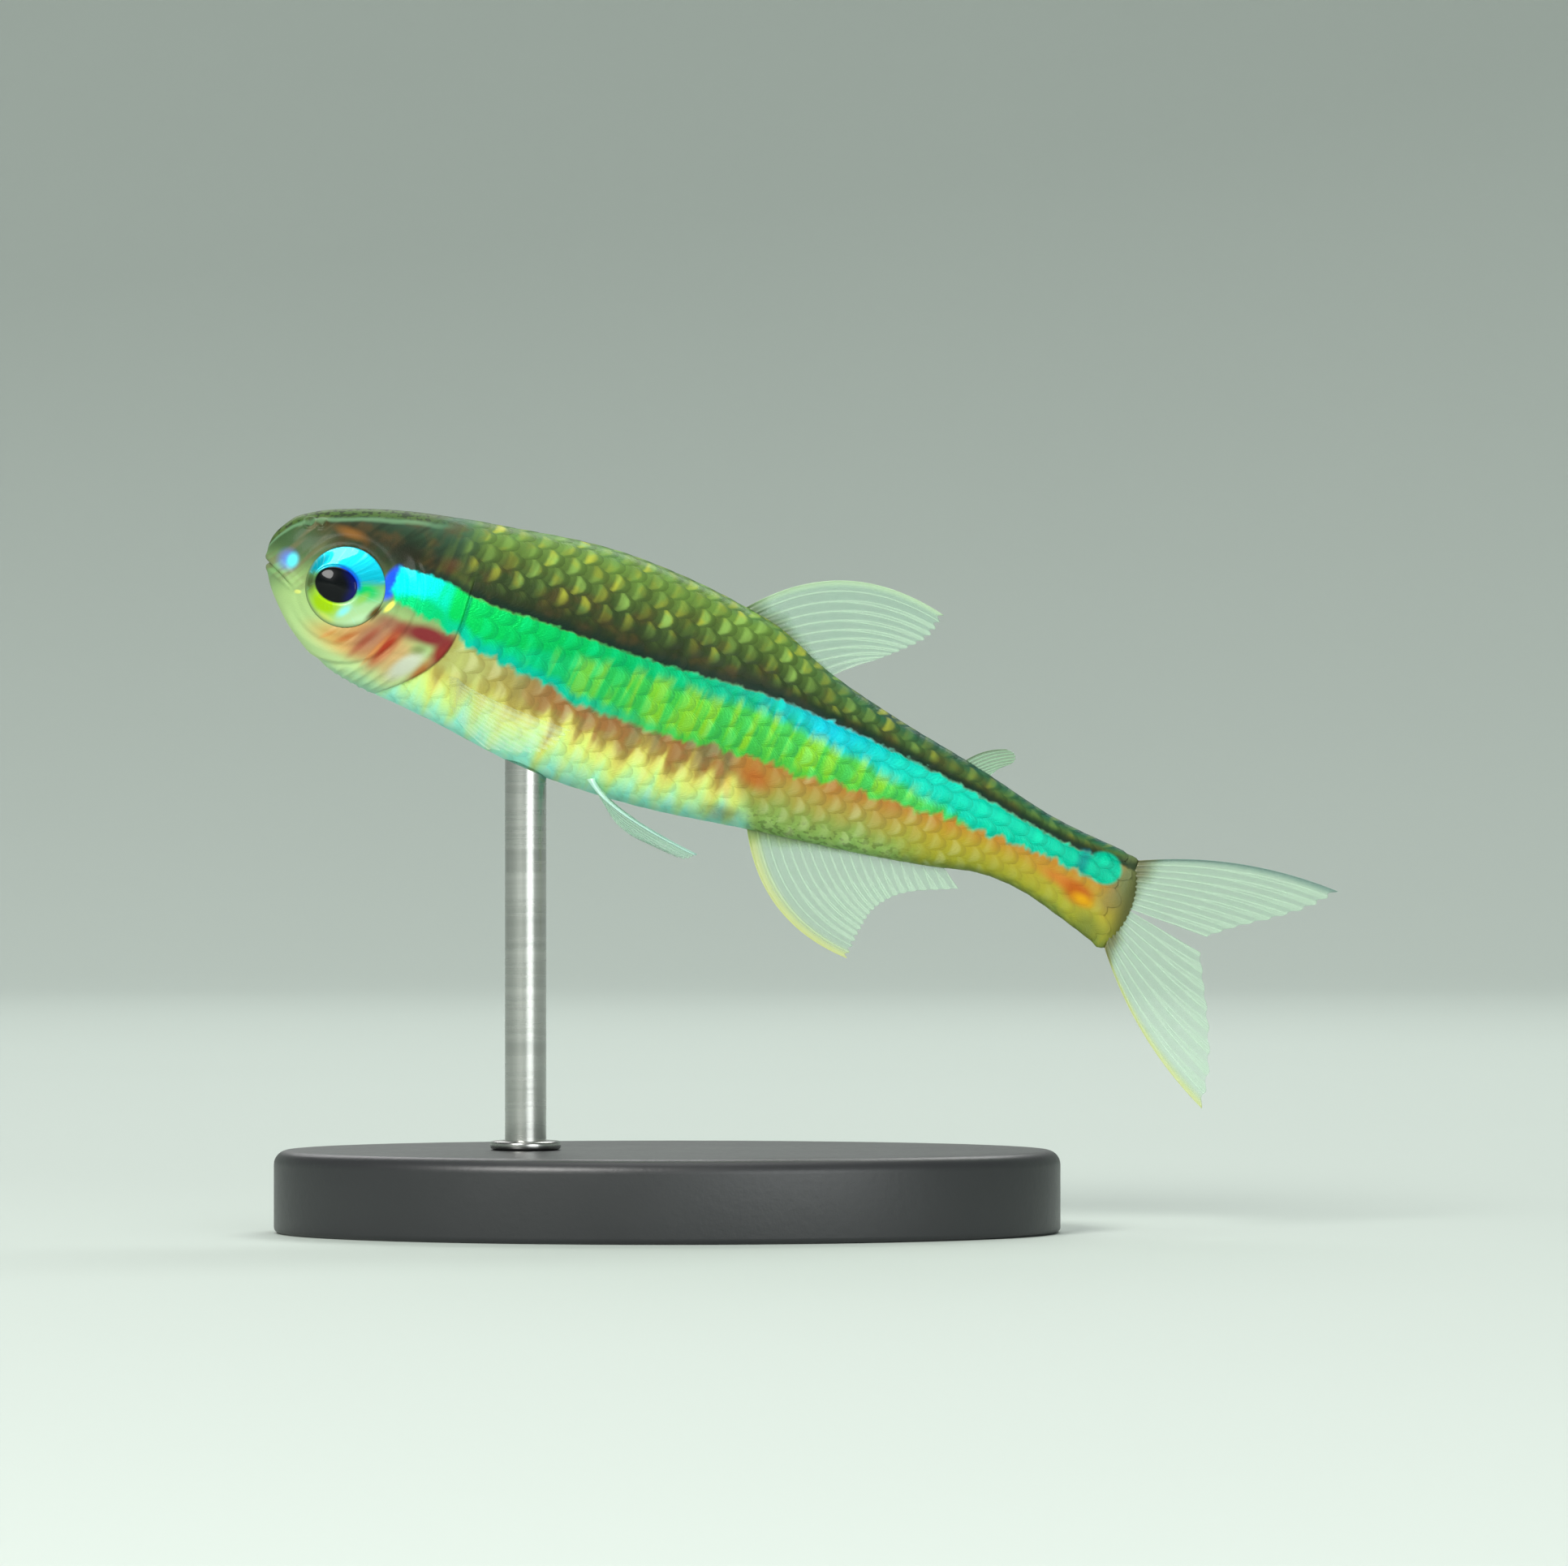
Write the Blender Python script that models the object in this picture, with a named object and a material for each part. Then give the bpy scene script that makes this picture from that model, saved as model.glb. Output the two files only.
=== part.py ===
# A green neon tetra, modelled at life size and held head-up by a small display stand.
# The fish is built along its own axis: s runs from the snout to the tail, w to the fish's
# right and h upwards. An empty then pitches it head-up over the middle of the stand.
import math

import bmesh
import bpy
import numpy as np

# Driving dimensions, in millimetres and degrees
MM = 0.001
PITCH = 21.4
BODY_LENGTH = 22.3
JOINT_GAP = 0.3
EYE_GAP = 0.25

# Outlines of the body: station behind the snout, then height or half width
BACK_LINE = (
    (0, 0.12), (0.15, 0.60), (0.5, 1.06), (1.5, 1.60), (3, 2.10), (5, 2.53), (8.5, 3.02),
    (11, 2.88), (12.2, 2.68), (13.5, 2.18), (15.5, 1.70), (18, 1.26), (20, 0.84), (22.3, 0.68),
)
BELLY_LINE = (
    (0, 0.12), (0.15, -0.42), (0.4, -0.86), (1, -1.46), (2, -2.03), (3, -2.28), (5, -2.44),
    (8.5, -2.72), (11, -2.50), (13, -2.15), (17.8, -1.30), (18.8, -1.06), (20, -1.09),
    (21, -1.33), (22.3, -1.70),
)
HALF_WIDTH = (
    (0, 0), (0.15, 0.36), (0.5, 0.66), (1, 0.86), (2, 1.12), (3, 1.25), (5, 1.40), (8, 1.47),
    (11, 1.36), (14, 1.02), (17, 0.70), (20, 0.44), (22.3, 0.30),
)
FLANK_FULLNESS = 0.9      # below 1 the sides are fuller than an ellipse
STATIONS = 46
STATION_CROWDING = 1.8    # packs the stations towards the snout
RING_POINTS = 40

# Where the body is parted
GILL_MIDDLE = -0.3
GILL_REACH = 5.05
GILL_CURVE_UP, GILL_CURVE_DOWN = 0.05, 0.33
TAIL_CUT = 18.7
AHEAD, BEHIND, ASIDE = -2.0, 24.5, 4.0      # clear of the body in front, behind and beside it
CUT_SPAN = (-3.4, 3.8)                      # heights clear of the belly and the back

# Head
EYE_STATION, EYE_HEIGHT = 2.1, -0.22
EYE_RADIUS, EYE_DEPTH = 0.94, 0.40
EYE_OUT = 0.84            # from the middle of the head to the middle of an eye
GILL_COVER_THICK, GILL_COVER_PROUD = 0.40, 0.06
GILL_COVER_MIDDLE, GILL_COVER_REACH = (4.6, -0.45), (0.85, 1.38)
GILL_COVER_LEAN, GILL_COVER_POWER = 0.25, 2.6     # its foot leans forwards, its corners are round
GILL_COVER_BODY, GILL_CORE = (1.5, 7.5), (1.0, 8.0)     # stretches of body they come from
GILL_COVER_INNER = 0.4    # nearer the middle plane than this no cover reaches
MOUTH_FRONT, MOUTH_CORNER = (-0.3, -0.14), (1.0, -0.72)
MOUTH_SLIT_FRONT, MOUTH_SLIT_CORNER = 0.16, 0.05
LIP_RADIUS, LIP_LIFT, LIP_SINK = 0.13, 0.12, 0.07
LIP_CLOSING, LIP_TAPER = 0.5, 0.6    # how far the lips close and thin to the mouth's corners
NOSTRILS = ((0.72, 0.11), (0.98, 0.09))    # station, radius
NOSTRIL_ANGLE = 48

# Fins
FIN_THICK, RIDGE_THICK, TIP_SHARE = 0.50, 0.64, 0.4
FIN_THINNING = 4          # power that keeps the thinning near the tips
FIN_ROWS = 7
WEB_REACH = 0.97          # how far the web between two rays goes towards their tips
DORSAL_ROOT, DORSAL_RAYS = (11.15, 13.70), 11
DORSAL_TIPS = ((15.75, 4.42), (15.6, 3.8), (15.1, 3.25), (14.6, 2.8))
DORSAL_BOW = (0.32, 0.05)
ANAL_ROOT, ANAL_RAYS = (13.15, 17.85), 20
ANAL_TIPS = ((16.6, -4.15), (16.65, -3.4), (16.75, -2.75), (17.2, -2.2), (18.3, -1.85))
ANAL_BOW = (-0.40, 0.0)
ADIPOSE_ROOT, ADIPOSE_RAYS = (17.45, 18.15), 4
ADIPOSE_TIPS = ((18.45, 1.98), (18.55, 1.72))
ADIPOSE_BOW = (0.2, 0.1)
CAUDAL_ROOT_TOP, CAUDAL_ROOT_FOOT, CAUDAL_MIDDLE = 0.62, -1.64, -0.55
CAUDAL_UPPER_RAYS, CAUDAL_LOWER_RAYS = 10, 9
CAUDAL_UPPER_TIPS = ((27.05, 1.68), (26.6, 1.12), (25.9, 0.55), (25.1, 0.0), (24.5, -0.5))
CAUDAL_LOWER_TIPS = ((25.9, -4.4), (25.75, -3.5), (25.35, -2.5), (24.9, -1.65), (24.5, -0.9))
CAUDAL_BOW = 0.12
PECTORAL_RAYS, PELVIC_RAYS = 11, 8
PECTORAL_ROOT = ((5.25, -32), (5.50, -52))          # station and angle under the flank
PECTORAL_TIPS = ((8.45, 2.30, -1.45), (7.95, 2.30, -2.20), (6.75, 1.95, -2.60))
PELVIC_ROOT = ((9.20, -62), (9.60, -76))
PELVIC_TIPS = ((12.30, 1.10, -3.15), (12.0, 0.85, -3.35), (11.1, 0.60, -3.30))
PAIRED_LIFT, PAIRED_SWEEP = 0.55, 0.45

# Stand
BASE_LENGTH, BASE_WIDTH, BASE_THICK, BASE_EDGE = 19.0, 12.0, 2.0, 0.35
BASE_CENTRE = 9.6         # from under the snout to the middle of the base
ROD_RADIUS, ROD_STATION, ROD_SEAT_DEPTH = 0.5, 7.7, 1.2
TAIL_CLEARANCE = 1.0      # from the lowest fin tip to the level of the base's top

SIN, COS = math.sin(math.radians(PITCH)), math.cos(math.radians(PITCH))
LOWEST_TIP = CAUDAL_LOWER_TIPS[0]
SNOUT_HEIGHT = BASE_THICK + TAIL_CLEARANCE + LOWEST_TIP[0] * SIN - LOWEST_TIP[1] * COS


# Curves and places
def smooth(points, at):
    """Height of the smooth curve through the points, by cubic pieces."""
    x, y = np.array(points, float).T
    at = np.asarray(at, float)
    slope = np.gradient(y, x)
    i = np.clip(np.searchsorted(x, at) - 1, 0, len(x) - 2)
    run = x[i + 1] - x[i]
    t = np.clip((at - x[i]) / run, 0, 1)
    keep = (1 + 2 * t) * (1 - t) ** 2 * y[i] + t**2 * (3 - 2 * t) * y[i + 1]
    return keep + run * (t * (1 - t) ** 2 * slope[i] - t**2 * (1 - t) * slope[i + 1])


def outline(points, station):
    """Like smooth(), but against the root of the station, so that the snout is round."""
    rooted = [(math.sqrt(s), value) for s, value in points]
    return smooth(rooted, np.sqrt(np.maximum(station, 0)))


def section(station, grow=0.0):
    """Top, middle, foot and half width of the body at a station."""
    top = outline(BACK_LINE, station) + grow
    foot = outline(BELLY_LINE, station) - grow
    return top, (top + foot) / 2, foot, outline(HALF_WIDTH, station) + grow


def body_point(station, angle, grow=0.0):
    """Point of the body's surface: angle 0 is the right flank, 90 degrees the back."""
    top, middle, foot, half = section(station, grow)
    across, up = np.cos(angle), np.sin(angle)
    width = np.sign(across) * np.abs(across) ** FLANK_FULLNESS * half
    height = middle + up * np.where(up > 0, top - middle, middle - foot)
    return np.stack(np.broadcast_arrays(station, width, height), -1)


def body_normal(station, angle):
    """Unit normal of the body's surface, outwards, from two small steps along it."""
    step = 1e-3
    along = body_point(station + step, angle) - body_point(station - step, angle)
    around = body_point(station, angle + step) - body_point(station, angle - step)
    normal = np.cross(along, around)
    return -normal / np.linalg.norm(normal, axis=-1, keepdims=True)


def flank_width(station, height):
    """Half width of the body at a height, or 0 outside it."""
    top, middle, foot, half = section(station)
    share = (height - middle) / np.where(height > middle, top - middle, middle - foot)
    return half * np.maximum(1 - share**2, 0) ** (FLANK_FULLNESS / 2)


def gill_edge(height):
    """Station of the gill opening at a height."""
    off = height - GILL_MIDDLE
    return GILL_REACH - np.where(off > 0, GILL_CURVE_UP, GILL_CURVE_DOWN) * off**2


# Objects
def clear_scene():
    for obj in list(bpy.data.objects):
        bpy.data.objects.remove(obj, do_unlink=True)


def paint(name, colour, roughness, metallic=0.0, alpha=1.0):
    """A Principled material."""
    made = bpy.data.materials.new(name)
    made.use_nodes = True
    shader = made.node_tree.nodes["Principled BSDF"]
    shader.inputs["Base Color"].default_value = (*colour, 1)
    shader.inputs["Roughness"].default_value = roughness
    shader.inputs["Metallic"].default_value = metallic
    shader.inputs["Alpha"].default_value = alpha
    return made


def mesh_object(name, points, faces, parent=None):
    """An object from points in millimetres, with its faces turned outwards."""
    mesh = bpy.data.meshes.new(name)
    mesh.from_pydata((np.asarray(points) * MM).tolist(), [], [list(face) for face in faces])
    turn_out(mesh)
    made = bpy.data.objects.new(name, mesh)
    made.parent = parent
    bpy.context.scene.collection.objects.link(made)
    return made


def turn_out(mesh):
    work = bmesh.new()
    work.from_mesh(mesh)
    bmesh.ops.recalc_face_normals(work, faces=work.faces)
    work.to_mesh(mesh)
    work.free()


def combine(target, tool, operation):
    """Applies a Boolean to the target and removes the tool."""
    change = target.modifiers.new(operation.lower(), "BOOLEAN")
    change.operation = operation
    change.solver = "EXACT"
    change.object = tool
    graph = bpy.context.evaluated_depsgraph_get()
    made = bpy.data.meshes.new_from_object(target.evaluated_get(graph))
    target.modifiers.clear()
    before = target.data
    target.data = made
    bpy.data.meshes.remove(before)
    bpy.data.objects.remove(tool, do_unlink=True)


def keep_largest(obj):
    """Drops every loose surface but the one with the most faces."""
    work = bmesh.new()
    work.from_mesh(obj.data)
    left, islands = set(work.faces), []
    while left:
        island, edge = set(), [left.pop()]
        while edge:
            face = edge.pop()
            island.add(face)
            near = {other for side in face.edges for other in side.link_faces}
            edge.extend(near & left)
            left -= near
        islands.append(island)
    islands.sort(key=len)
    scraps = [face for island in islands[:-1] for face in island]
    bmesh.ops.delete(work, geom=scraps, context="FACES")
    work.to_mesh(obj.data)
    work.free()


def finish(obj, material, sharp=40):
    """Gives a finished object its material and smooth shading."""
    obj.data.name = obj.name
    obj.data.materials.clear()
    obj.data.materials.append(material)
    obj.data.shade_smooth()
    obj.data.set_sharp_from_angle(angle=math.radians(sharp))
    return obj


# Shapes
def ring_faces(rings, around, first_cap, last_cap):
    """Quads between rings of points, and fans of triangles to the two cap points."""
    faces = []
    for ring in range(rings - 1):
        for i in range(around):
            a, b = ring * around + i, ring * around + (i + 1) % around
            faces.append((a, b, b + around, a + around))
    last = (rings - 1) * around
    for i in range(around):
        j = (i + 1) % around
        faces.append((first_cap, j, i))
        faces.append((last_cap, last + i, last + j))
    return faces


def body_loft(name, parent, grow=0.0, start=0.0, stop=BODY_LENGTH):
    """The body as rings along it, between two stations, and thicker all round by grow."""
    share = (np.arange(1, STATIONS + 1) / STATIONS) ** STATION_CROWDING
    stations = start + (stop - start) * share
    angles = np.arange(RING_POINTS) * 2 * math.pi / RING_POINTS
    rings = body_point(stations[:, None], angles[None], grow)
    middle = section(np.array([start, stop]), grow)[1]
    ends = [(start, 0, middle[0]), (stop, 0, middle[1])]
    points = np.concatenate([rings.reshape(-1, 3), ends])
    count = STATIONS * RING_POINTS
    faces = ring_faces(STATIONS, RING_POINTS, count, count + 1)
    return mesh_object(name, points, faces, parent)


def side_prism(name, parent, corners, inner=-ASIDE, outer=ASIDE):
    """A closed outline of (station, height) corners, drawn out across the fish."""
    count = len(corners)
    points = [(s, w, h) for w in (inner, outer) for s, h in corners]
    faces = [range(count), range(count, 2 * count)]
    for i in range(count):
        j = (i + 1) % count
        faces.append((i, j, j + count, i + count))
    return mesh_object(name, points, faces, parent)


def ellipsoid(name, parent, centre, radii, around=20, rings=12):
    work = bmesh.new()
    bmesh.ops.create_uvsphere(work, u_segments=around, v_segments=rings, radius=1)
    # The poles point sideways, towards the pupil.
    points = [(v.co.x, v.co.z, v.co.y) for v in work.verts]
    faces = [[v.index for v in face.verts] for face in work.faces]
    work.free()
    return mesh_object(name, np.array(points) * radii + centre, faces, parent)


def tube(name, parent, path, radii, flat_normal, sides=8):
    """A tube along a path that lies nearly in one plane, closed at both ends."""
    run = np.gradient(path, axis=0)
    run /= np.linalg.norm(run, axis=1, keepdims=True)
    up = np.broadcast_to(flat_normal, run.shape).astype(float)
    out = np.cross(run, up)
    out /= np.linalg.norm(out, axis=1, keepdims=True)
    up = np.cross(out, run)
    turn = np.arange(sides) * 2 * math.pi / sides
    ring = np.cos(turn)[None, :, None] * out[:, None] + np.sin(turn)[None, :, None] * up[:, None]
    points = path[:, None] + ring * np.asarray(radii)[:, None, None]
    points = np.concatenate([points.reshape(-1, 3), path[:1], path[-1:]])
    count = len(path) * sides
    return mesh_object(name, points, ring_faces(len(path), sides, count, count + 1), parent)


def fin(name, parent, roots, bends, tips, ridge=RIDGE_THICK):
    """A fin: each ray runs from its root past its bend to its tip, with webs between the rays.

    Rays stand up as ridges of the web's own surface, and both faces are split alike.
    """
    rays = np.stack([roots, bends, tips], 1)
    columns = np.empty((2 * len(rays) - 1, 3, 3))
    columns[::2] = rays
    columns[1::2] = (rays[1:] + rays[:-1]) / 2
    is_web = np.arange(len(columns)) % 2 == 1
    t = np.linspace(0, 1, FIN_ROWS)[None, :] * np.where(is_web, WEB_REACH, 1)[:, None]
    t = t[..., None]
    a, b, c = (columns[:, k, None, :] for k in range(3))
    middle = (1 - t) ** 2 * a + 2 * t * (1 - t) * b + t**2 * c
    normal = np.cross(np.gradient(middle, axis=0), np.gradient(middle, axis=1))
    normal /= np.linalg.norm(normal, axis=-1, keepdims=True)
    taper = 1 - (1 - TIP_SHARE) * t**FIN_THINNING
    thick = np.where(is_web, FIN_THICK, ridge)[:, None, None] * taper
    points = np.concatenate([middle + normal * thick / 2, middle - normal * thick / 2])
    wide, tall = len(columns), FIN_ROWS
    count = wide * tall
    faces = []
    for i in range(wide - 1):
        for j in range(tall - 1):
            p, q = i * tall + j, (i + 1) * tall + j
            faces += [(p, q, q + 1), (p, q + 1, p + 1)]
            faces += [(p + count, q + 1 + count, q + count), (p + count, p + 1 + count, q + 1 + count)]
    rim = [i * tall for i in range(wide)] + [(wide - 1) * tall + j for j in range(1, tall)]
    rim += [i * tall + tall - 1 for i in range(wide - 2, -1, -1)] + list(range(tall - 2, 0, -1))
    for p, q in zip(rim, rim[1:] + rim[:1]):
        faces += [(p, q + count, q), (p, p + count, q + count)]
    return mesh_object(name, points.reshape(-1, 3), faces, parent)


# The body's pieces
def body_slice(front, back):
    """Corners of the slice between two cuts, half a joint's gap clear of each."""
    heights, half = np.linspace(*CUT_SPAN, 15), JOINT_GAP / 2
    before = [(float(front(h)) + half, h) for h in heights]
    behind = [(float(back(h)) - half, h) for h in heights]
    return before + behind[::-1]


def body_piece(name, parent, piece_slice):
    """What a slice across the fish takes of its body."""
    piece = body_loft(name, parent)
    combine(piece, side_prism("slice", parent, piece_slice), "INTERSECT")
    return piece


def gill_cover_corners(grow):
    """The gill cover's outline: a leaning, rounded front, and a back for the opening to trim."""
    turn = np.linspace(math.pi / 2, 3 * math.pi / 2, 19)
    across, up = np.cos(turn), np.sin(turn)
    power = 2 / GILL_COVER_POWER
    height = np.sign(up) * np.abs(up) ** power * (GILL_COVER_REACH[1] + grow)
    station = -(np.abs(across) ** power) * (GILL_COVER_REACH[0] + grow) + GILL_COVER_LEAN * height
    middle, back = GILL_COVER_MIDDLE, GILL_REACH + 1
    front = [(middle[0] + s, middle[1] + h) for s, h in zip(station, height)]
    return front + [(back, front[-1][1]), (back, front[0][1])]


def cover_prism(parent, side, grow):
    inner, outer = GILL_COVER_INNER * side, ASIDE * side
    return side_prism("outline", parent, gill_cover_corners(grow), inner, outer)


def gill_cover(name, parent, side, head_slice):
    """A curved plate that follows the side of the head, with its hind edge free."""
    plate = body_loft(name, parent, GILL_COVER_PROUD, *GILL_COVER_BODY)
    core = body_loft("core", parent, GILL_COVER_PROUD - GILL_COVER_THICK, *GILL_CORE)
    combine(plate, core, "DIFFERENCE")
    combine(plate, cover_prism(parent, side, 0), "INTERSECT")
    combine(plate, side_prism("slice", parent, head_slice), "INTERSECT")
    keep_largest(plate)
    return plate


def gill_recess(parent, side):
    """What the head gives up for a gill cover and the gap round it."""
    room = cover_prism(parent, side, JOINT_GAP)
    depth = GILL_COVER_PROUD - GILL_COVER_THICK - JOINT_GAP
    combine(room, body_loft("core", parent, depth, *GILL_CORE), "DIFFERENCE")
    keep_largest(room)
    return room


def mouth_height(station):
    (s0, h0), (s1, h1) = MOUTH_FRONT, MOUTH_CORNER
    return h0 + (station - s0) * (h1 - h0) / (s1 - s0)


def lip(parent, lift):
    """A lip round the front of the jaw, from one corner of the mouth to the other."""
    stations = np.linspace(0, MOUTH_CORNER[0], 400)
    height = mouth_height(stations) + lift
    inside = (height > outline(BELLY_LINE, stations)) & (height < outline(BACK_LINE, stations))
    front = stations[inside][0]
    side = np.linspace(-1, 1, 17)
    station = front + LIP_SINK + (MOUTH_CORNER[0] - front - LIP_SINK) * side**2
    height = mouth_height(station) + lift * (1 - LIP_CLOSING * side**2)
    width = np.maximum(flank_width(station, height) - LIP_SINK, 0) * np.sign(side)
    radii = LIP_RADIUS * (1 - LIP_TAPER * side**2)
    (s0, h0), (s1, h1) = MOUTH_FRONT, MOUTH_CORNER
    square_to_mouth = (h0 - h1, 0, s1 - s0)
    return tube("lip", parent, np.stack([station, width, height], 1), radii, square_to_mouth)


def mouth_slit(parent):
    (s0, h0), (s1, h1) = MOUTH_FRONT, MOUTH_CORNER
    front, back = MOUTH_SLIT_FRONT / 2, MOUTH_SLIT_CORNER / 2
    corners = [(s0, h0 + front), (s1, h1 + back), (s1, h1 - back), (s0, h0 - front)]
    return side_prism("slit", parent, corners)


def head(parent, head_slice):
    """Snout, jaws and cheeks, with the eye sockets, nostrils and gill recesses cut in."""
    made = body_piece("head", parent, head_slice)
    for lift in (LIP_LIFT, -LIP_LIFT):
        combine(made, lip(parent, lift), "UNION")
    combine(made, mouth_slit(parent), "DIFFERENCE")
    for side in (-1, 1):
        centre = (EYE_STATION, EYE_OUT * side, EYE_HEIGHT)
        radii = (EYE_RADIUS + EYE_GAP, EYE_DEPTH + EYE_GAP, EYE_RADIUS + EYE_GAP)
        combine(made, ellipsoid("socket", parent, centre, radii, 32, 16), "DIFFERENCE")
        combine(made, gill_recess(parent, side), "DIFFERENCE")
        angle = math.radians(NOSTRIL_ANGLE)
        for station, radius in NOSTRILS:
            centre = body_point(station, angle) * (1, side, 1)
            pit = ellipsoid("nostril", parent, centre, (radius,) * 3, 12, 8)
            combine(made, pit, "DIFFERENCE")
    keep_largest(made)
    return made


def eye(name, parent, side):
    centre = (EYE_STATION, EYE_OUT * side, EYE_HEIGHT)
    return ellipsoid(name, parent, centre, (EYE_RADIUS, EYE_DEPTH, EYE_RADIUS), 24, 12)


# The fins' pieces
def spread(points, count):
    """Ray tips spread evenly along the smooth curve through a fin's tip points."""
    known, wanted = np.linspace(0, 1, len(points)), np.linspace(0, 1, count)
    lines = np.array(points, float).T
    return np.stack([smooth(np.column_stack([known, line]), wanted) for line in lines], 1)


def median_tips(points, count):
    """The same for a fin in the middle plane, whose points have no width."""
    return np.insert(spread(points, count), 1, 0, axis=1)


def bowed(roots, tips, first, last):
    """Bends that bow each ray sideways in the fin's own plane, from the first to the last."""
    run = tips - roots
    aside = np.stack([-run[:, 2], np.zeros(len(run)), run[:, 0]], 1)
    share = np.linspace(first, last, len(run))[:, None]
    return (roots + tips) / 2 + aside * share


def median_roots(line, span, count, side):
    """Ray roots spread along the back or the belly, the joint's gap clear of it."""
    station = np.linspace(*span, count)
    height = outline(line, station) + side * JOINT_GAP
    return np.stack([station, np.zeros(count), height], 1)


def dorsal_fin(parent):
    roots = median_roots(BACK_LINE, DORSAL_ROOT, DORSAL_RAYS, 1)
    tips = median_tips(DORSAL_TIPS, DORSAL_RAYS)
    return fin("dorsal_fin", parent, roots, bowed(roots, tips, *DORSAL_BOW), tips)


def adipose_fin(parent):
    roots = median_roots(BACK_LINE, ADIPOSE_ROOT, ADIPOSE_RAYS, 1)
    tips = median_tips(ADIPOSE_TIPS, ADIPOSE_RAYS)
    return fin("adipose_fin", parent, roots, bowed(roots, tips, *ADIPOSE_BOW), tips, FIN_THICK)


def anal_fin(parent):
    roots = median_roots(BELLY_LINE, ANAL_ROOT, ANAL_RAYS, -1)
    tips = median_tips(ANAL_TIPS, ANAL_RAYS)
    return fin("anal_fin", parent, roots, bowed(roots, tips, *ANAL_BOW), tips)


def caudal_lobe(name, parent, edge, count, tip_points, bow):
    """One lobe of the tail fin, from its outer edge to the middle of the fork."""
    middle = CAUDAL_MIDDLE + math.copysign(JOINT_GAP / 2, edge - CAUDAL_MIDDLE)
    station = np.full(count, BODY_LENGTH + JOINT_GAP)
    roots = np.stack([station, np.zeros(count), np.linspace(edge, middle, count)], 1)
    tips = median_tips(tip_points, count)
    return fin(name, parent, roots, bowed(roots, tips, bow, 0.0), tips)


def paired_fin(name, parent, side, count, root_ends, tip_points):
    """A fin that leaves the body square to it and then sweeps back."""
    station, angle = np.linspace(*root_ends, count).T
    angle = np.radians(angle)
    surface, normal = body_point(station, angle), body_normal(station, angle)
    roots = surface + JOINT_GAP * normal
    bends = roots + PAIRED_LIFT * normal + (PAIRED_SWEEP, 0, 0)
    tips = spread(tip_points, count)
    mirror = (1, side, 1)
    return fin(name, parent, roots * mirror, bends * mirror, tips * mirror)


# The stand
def stand_base():
    """An oval base, with a blind hole that the rod stands in."""
    work = bmesh.new()
    bmesh.ops.create_cone(
        work, cap_ends=True, segments=56, radius1=0.5, radius2=0.5, depth=BASE_THICK
    )
    points = [(v.co.x * BASE_LENGTH, v.co.y * BASE_WIDTH, v.co.z) for v in work.verts]
    faces = [[v.index for v in face.verts] for face in work.faces]
    work.free()
    made = mesh_object("stand_base", np.array(points) + (0, 0, BASE_THICK / 2), faces)
    edge = made.modifiers.new("edge", "BEVEL")
    edge.width = BASE_EDGE * MM
    edge.segments = 2
    edge.limit_method = "ANGLE"
    x, _ = rod_head()
    seat = BASE_THICK - ROD_SEAT_DEPTH
    hole = rod("hole", x, ROD_RADIUS + JOINT_GAP, seat, BASE_THICK + 1)
    combine(made, hole, "DIFFERENCE")
    return made


def rod_head():
    """World x and z of the belly above the middle of the rod, from the stand's middle."""
    belly = float(outline(BELLY_LINE, ROD_STATION))
    x = ROD_STATION * COS + belly * SIN - BASE_CENTRE
    return x, SNOUT_HEIGHT - ROD_STATION * SIN + belly * COS


def rod(name, x, radius, foot, top, slope=0.0, sides=24):
    """An upright round bar whose top end slopes along x."""
    turn = np.arange(sides) * 2 * math.pi / sides
    ring = np.stack([np.cos(turn) * radius, np.sin(turn) * radius], 1)
    lower = np.column_stack([ring + (x, 0), np.full(sides, foot)])
    upper = np.column_stack([ring + (x, 0), top + slope * ring[:, 0]])
    points = np.concatenate([lower, upper, [(x, 0, foot), (x, 0, top)]])
    return mesh_object(name, points, ring_faces(2, sides, 2 * sides, 2 * sides + 1))


def stand_rod():
    """The rod, cut along the belly's slope just under it."""
    x, z = rod_head()
    before, after = outline(BELLY_LINE, np.array([ROD_STATION - 0.5, ROD_STATION + 0.5]))
    slope = math.tan(math.atan(float(after - before)) - math.radians(PITCH))
    foot = BASE_THICK - ROD_SEAT_DEPTH + JOINT_GAP
    return rod("stand_rod", x, ROD_RADIUS, foot, z - JOINT_GAP / COS, slope)


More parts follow.
